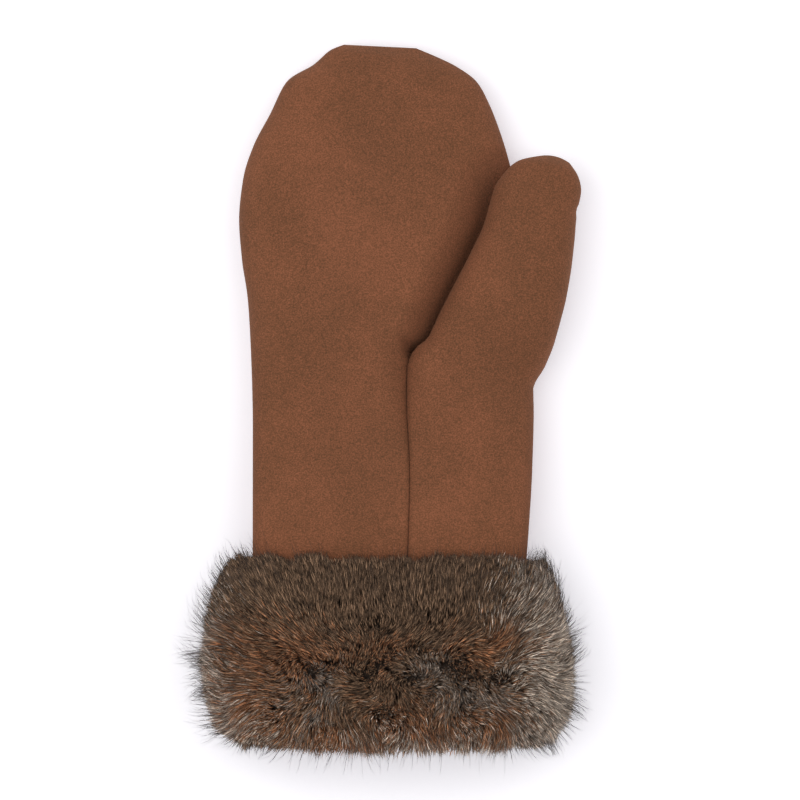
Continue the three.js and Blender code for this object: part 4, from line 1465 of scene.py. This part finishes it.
def make_underfur_material():
    look = {"Roughness": 0.95, "Specular IOR Level": 0.1}
    material, nodes, principled = new_material("underfur", look)
    place = nodes.add("ShaderNodeTexCoord").of("Object")
    patches, fibres = (
        nodes.add("ShaderNodeTexNoise", None, {"Vector": place, "Scale": per_metre, "Detail": 3})
        for per_metre in (PATCHES_PER_METRE, FIBRES_PER_METRE)
    )
    stops = [(at, linear(*shown)) for at, shown in UNDERFUR_STOPS]
    tone = patches * PATCHES_SHARE + fibres * FIBRES_SHARE
    into(principled, "Base Color", nodes.add("ShaderNodeValToRGB", {"stops": stops}, {0: tone}))
    into(principled, "Normal", nodes.add("ShaderNodeBump", None, {**WOOL_BUMP, "Height": fibres}))
    return material


hair_material = make_hair_material("fur_hair", [HAIR_RAMPS[kind] for kind in KINDS])
guard_material = make_hair_material("guard_hair", [GUARD_RAMP])
underfur.data.materials.append(make_underfur_material())
print("kinds of hair:", ", ".join(KINDS), "and the guard hairs")

# %% [markdown]
# ## The coat
# The ring is split into sheets so that no piece gets too heavy: three across the top, one at each side
# and one below, with a narrow hem round the mouth. The top is seen most, so its hairs are the closest.
# Long dark guard hairs stand out of the coat, thin and on their own, at the sides, at the mouth and over
# the leather.

# %% The look of the coat and of its guard hairs
COAT = {
    "Needle": needle,
    "Length": 1.0,
    "Length variation": 0.2,
    "Thickness": 0.00011,
    "Bend": 0.12,
    "Stray": 0.24,
    "Lock size": 0.0038,
    "Locking": 0.5,
    "Floor": 0.0003,
    "Material": hair_material,
}
GUARD = {
    **COAT,
    "Needle": long_needle,
    "Length": 1.85,
    "Length variation": 0.3,
    "Thickness": 0.00007,
    "Bend": 0.18,
    "Stray": 0.28,
    "Locking": 0.3,
    "Material": guard_material,
}
EVENLY = {"base": 1.0}
BELOW = {"base": 0.5, "mouth": 1.6, "mouth_from": 0.72, "hand": 0.4, "hand_to": 0.15}
AT_THE_OUTLINE = {
    "base": 0.12,
    "sides": 1.0,
    "mouth": 0.7,
    "mouth_from": 0.82,
    "hand": 0.5,
    "hand_to": 0.1,
}

print("a guard hair's length is", GUARD["Length"], "times the coat's")

# %% The coat, sheet by sheet
TOP = (0.13 * math.pi, 0.87 * math.pi, 90)
UNDER = (1.13 * math.pi, 1.87 * math.pi, 90)
LEFT = (-0.13 * math.pi, 0.13 * math.pi, 40)
RIGHT = (0.87 * math.pi, 1.13 * math.pi, 40)
GUARDED = (-0.25 * math.pi, 1.25 * math.pi, 150)
WHOLE = (0.0, 1.0, 110)
SHEETS = (
    # piece, angles round the wrist, shares from the hand to the mouth, crowding, hairs, seed
    ("fur_top_hand", TOP, (0.0, 0.36, 60), EVENLY, 32000, 11),
    ("fur_top_middle", TOP, (0.36, 0.62, 60), EVENLY, 32000, 12),
    ("fur_top_mouth", TOP, (0.62, 1.0, 60), EVENLY, 32000, 13),
    ("fur_left", LEFT, WHOLE, EVENLY, 12000, 14),
    ("fur_right", RIGHT, WHOLE, EVENLY, 12000, 15),
    ("fur_under", UNDER, WHOLE, BELOW, 9000, 16),
)
HEM_HAIRS, HEM_SEED = 5000, 17
GUARD_HAIRS, GUARD_SEED = 2800, 31


def cover(name, sheet, look, count, seed):
    """Grows a number of hairs on a sheet. Their density is for its area, weighted by the crowding."""
    weights = np.array([value.value for value in sheet.data.attributes["crowding"].data])
    area = sum(face.area * weights[list(face.vertices)].mean() for face in sheet.data.polygons)
    return grow_hair(name, sheet, {**look, "Hairs per square metre": count / area, "Seed": seed})


coat = [underfur]
for name, angles, shares, crowd, count, seed in SHEETS:
    sheet = hair_surface(name + "_sheet", angles, shares, crowd)
    coat.append(cover(name, sheet, COAT, count, seed))
coat.append(cover("fur_mouth_edge", hem_surface("hem_sheet"), COAT, HEM_HAIRS, HEM_SEED))
guard_sheet = hair_surface("guard_sheet", GUARDED, (0.0, 1.0, 100), AT_THE_OUTLINE)
coat.append(cover("fur_guard_hairs", guard_sheet, GUARD, GUARD_HAIRS, GUARD_SEED))
for pattern in (needle, long_needle):
    bpy.data.objects.remove(pattern)
for piece in coat:
    dress(piece, "fur_cuff")

# %% [markdown]
# ## The table, the light and the camera
# The photograph was taken straight down on a white table under broad soft light. The camera has a long
# lens, so the hand's height hardly changes its outline. One large lamp above and to the left gives the
# leather its form, a weaker one fills the other side, and a bright world keeps the table white.

# %% The table
TABLE_HALF = 3.0
TABLE_GLOW = 0.3
TABLE_LIGHT = linear(246, 244, 255)
TABLE_TINTS = (linear(249, 248, 250), linear(251, 250, 252))


def make_table():
    ways = ((-1, -1), (1, -1), (1, 1), (-1, 1))
    mesh = bpy.data.meshes.new("table")
    mesh.from_pydata([(x * TABLE_HALF, y * TABLE_HALF, 0) for x, y in ways], [], [(0, 1, 2, 3)])
    look = {"Roughness": 0.9, "Specular IOR Level": 0.1}
    glow = {"Emission Color": TABLE_LIGHT, "Emission Strength": TABLE_GLOW}
    material, nodes, principled = new_material("white_table", {**look, **glow})
    place = nodes.add("ShaderNodeTexCoord").of("Object")
    grain = nodes.add("ShaderNodeTexNoise", None, {"Vector": place, "Scale": 40, "Detail": 2})
    into(principled, "Base Color", nodes.mix(grain, *TABLE_TINTS))
    mesh.materials.append(material)
    add_object("table", mesh)


make_table()
print("the table is", 2 * TABLE_HALF, "m wide")

# %% The light
LAMPS = (
    # name, place and size in metres, watts
    ("key_light", (-0.55, 0.05, 1.25), 1.2, 8.2),
    ("fill_light", (0.6, 0.3, 1.2), 1.1, 4.5),
)
WORLD_LIGHT = 0.5

for name, place, size, power in LAMPS:
    lamp = bpy.data.lights.new(name, "AREA")
    lamp.shape = "SQUARE"
    lamp.size = size
    lamp.energy = power
    made = add_object(name, lamp)
    made.location = place
    made.rotation_euler = (-Vector(place)).to_track_quat("-Z", "Y").to_euler()
    print(name, power, "W")
world = bpy.data.worlds.new("studio")
world.use_nodes = True
world.node_tree.nodes["Background"].inputs["Color"].default_value = (1, 1, 1, 1)
world.node_tree.nodes["Background"].inputs["Strength"].default_value = WORLD_LIGHT
bpy.context.scene.world = world
bpy.context.scene.view_settings.view_transform = "Standard"
bpy.context.scene.view_settings.look = "None"

# %% The camera
LENS = 400
SENSOR = 36
OBJECT_HEIGHT = 12
view_width = PHOTO_WIDTH * MM_PER_PIXEL
centre = in_frame(np.append(plan(*PHOTO_CENTRE), OBJECT_HEIGHT))
camera = bpy.data.cameras.new("camera")
camera.lens = LENS
camera.sensor_width = SENSOR
camera_object = add_object("camera", camera)
camera_object.location = (centre[0], centre[1], centre[2] + view_width * MM * LENS / SENSOR)
bpy.context.scene.camera = camera_object
print("camera height:", round(camera_object.location.z, 3), "m")
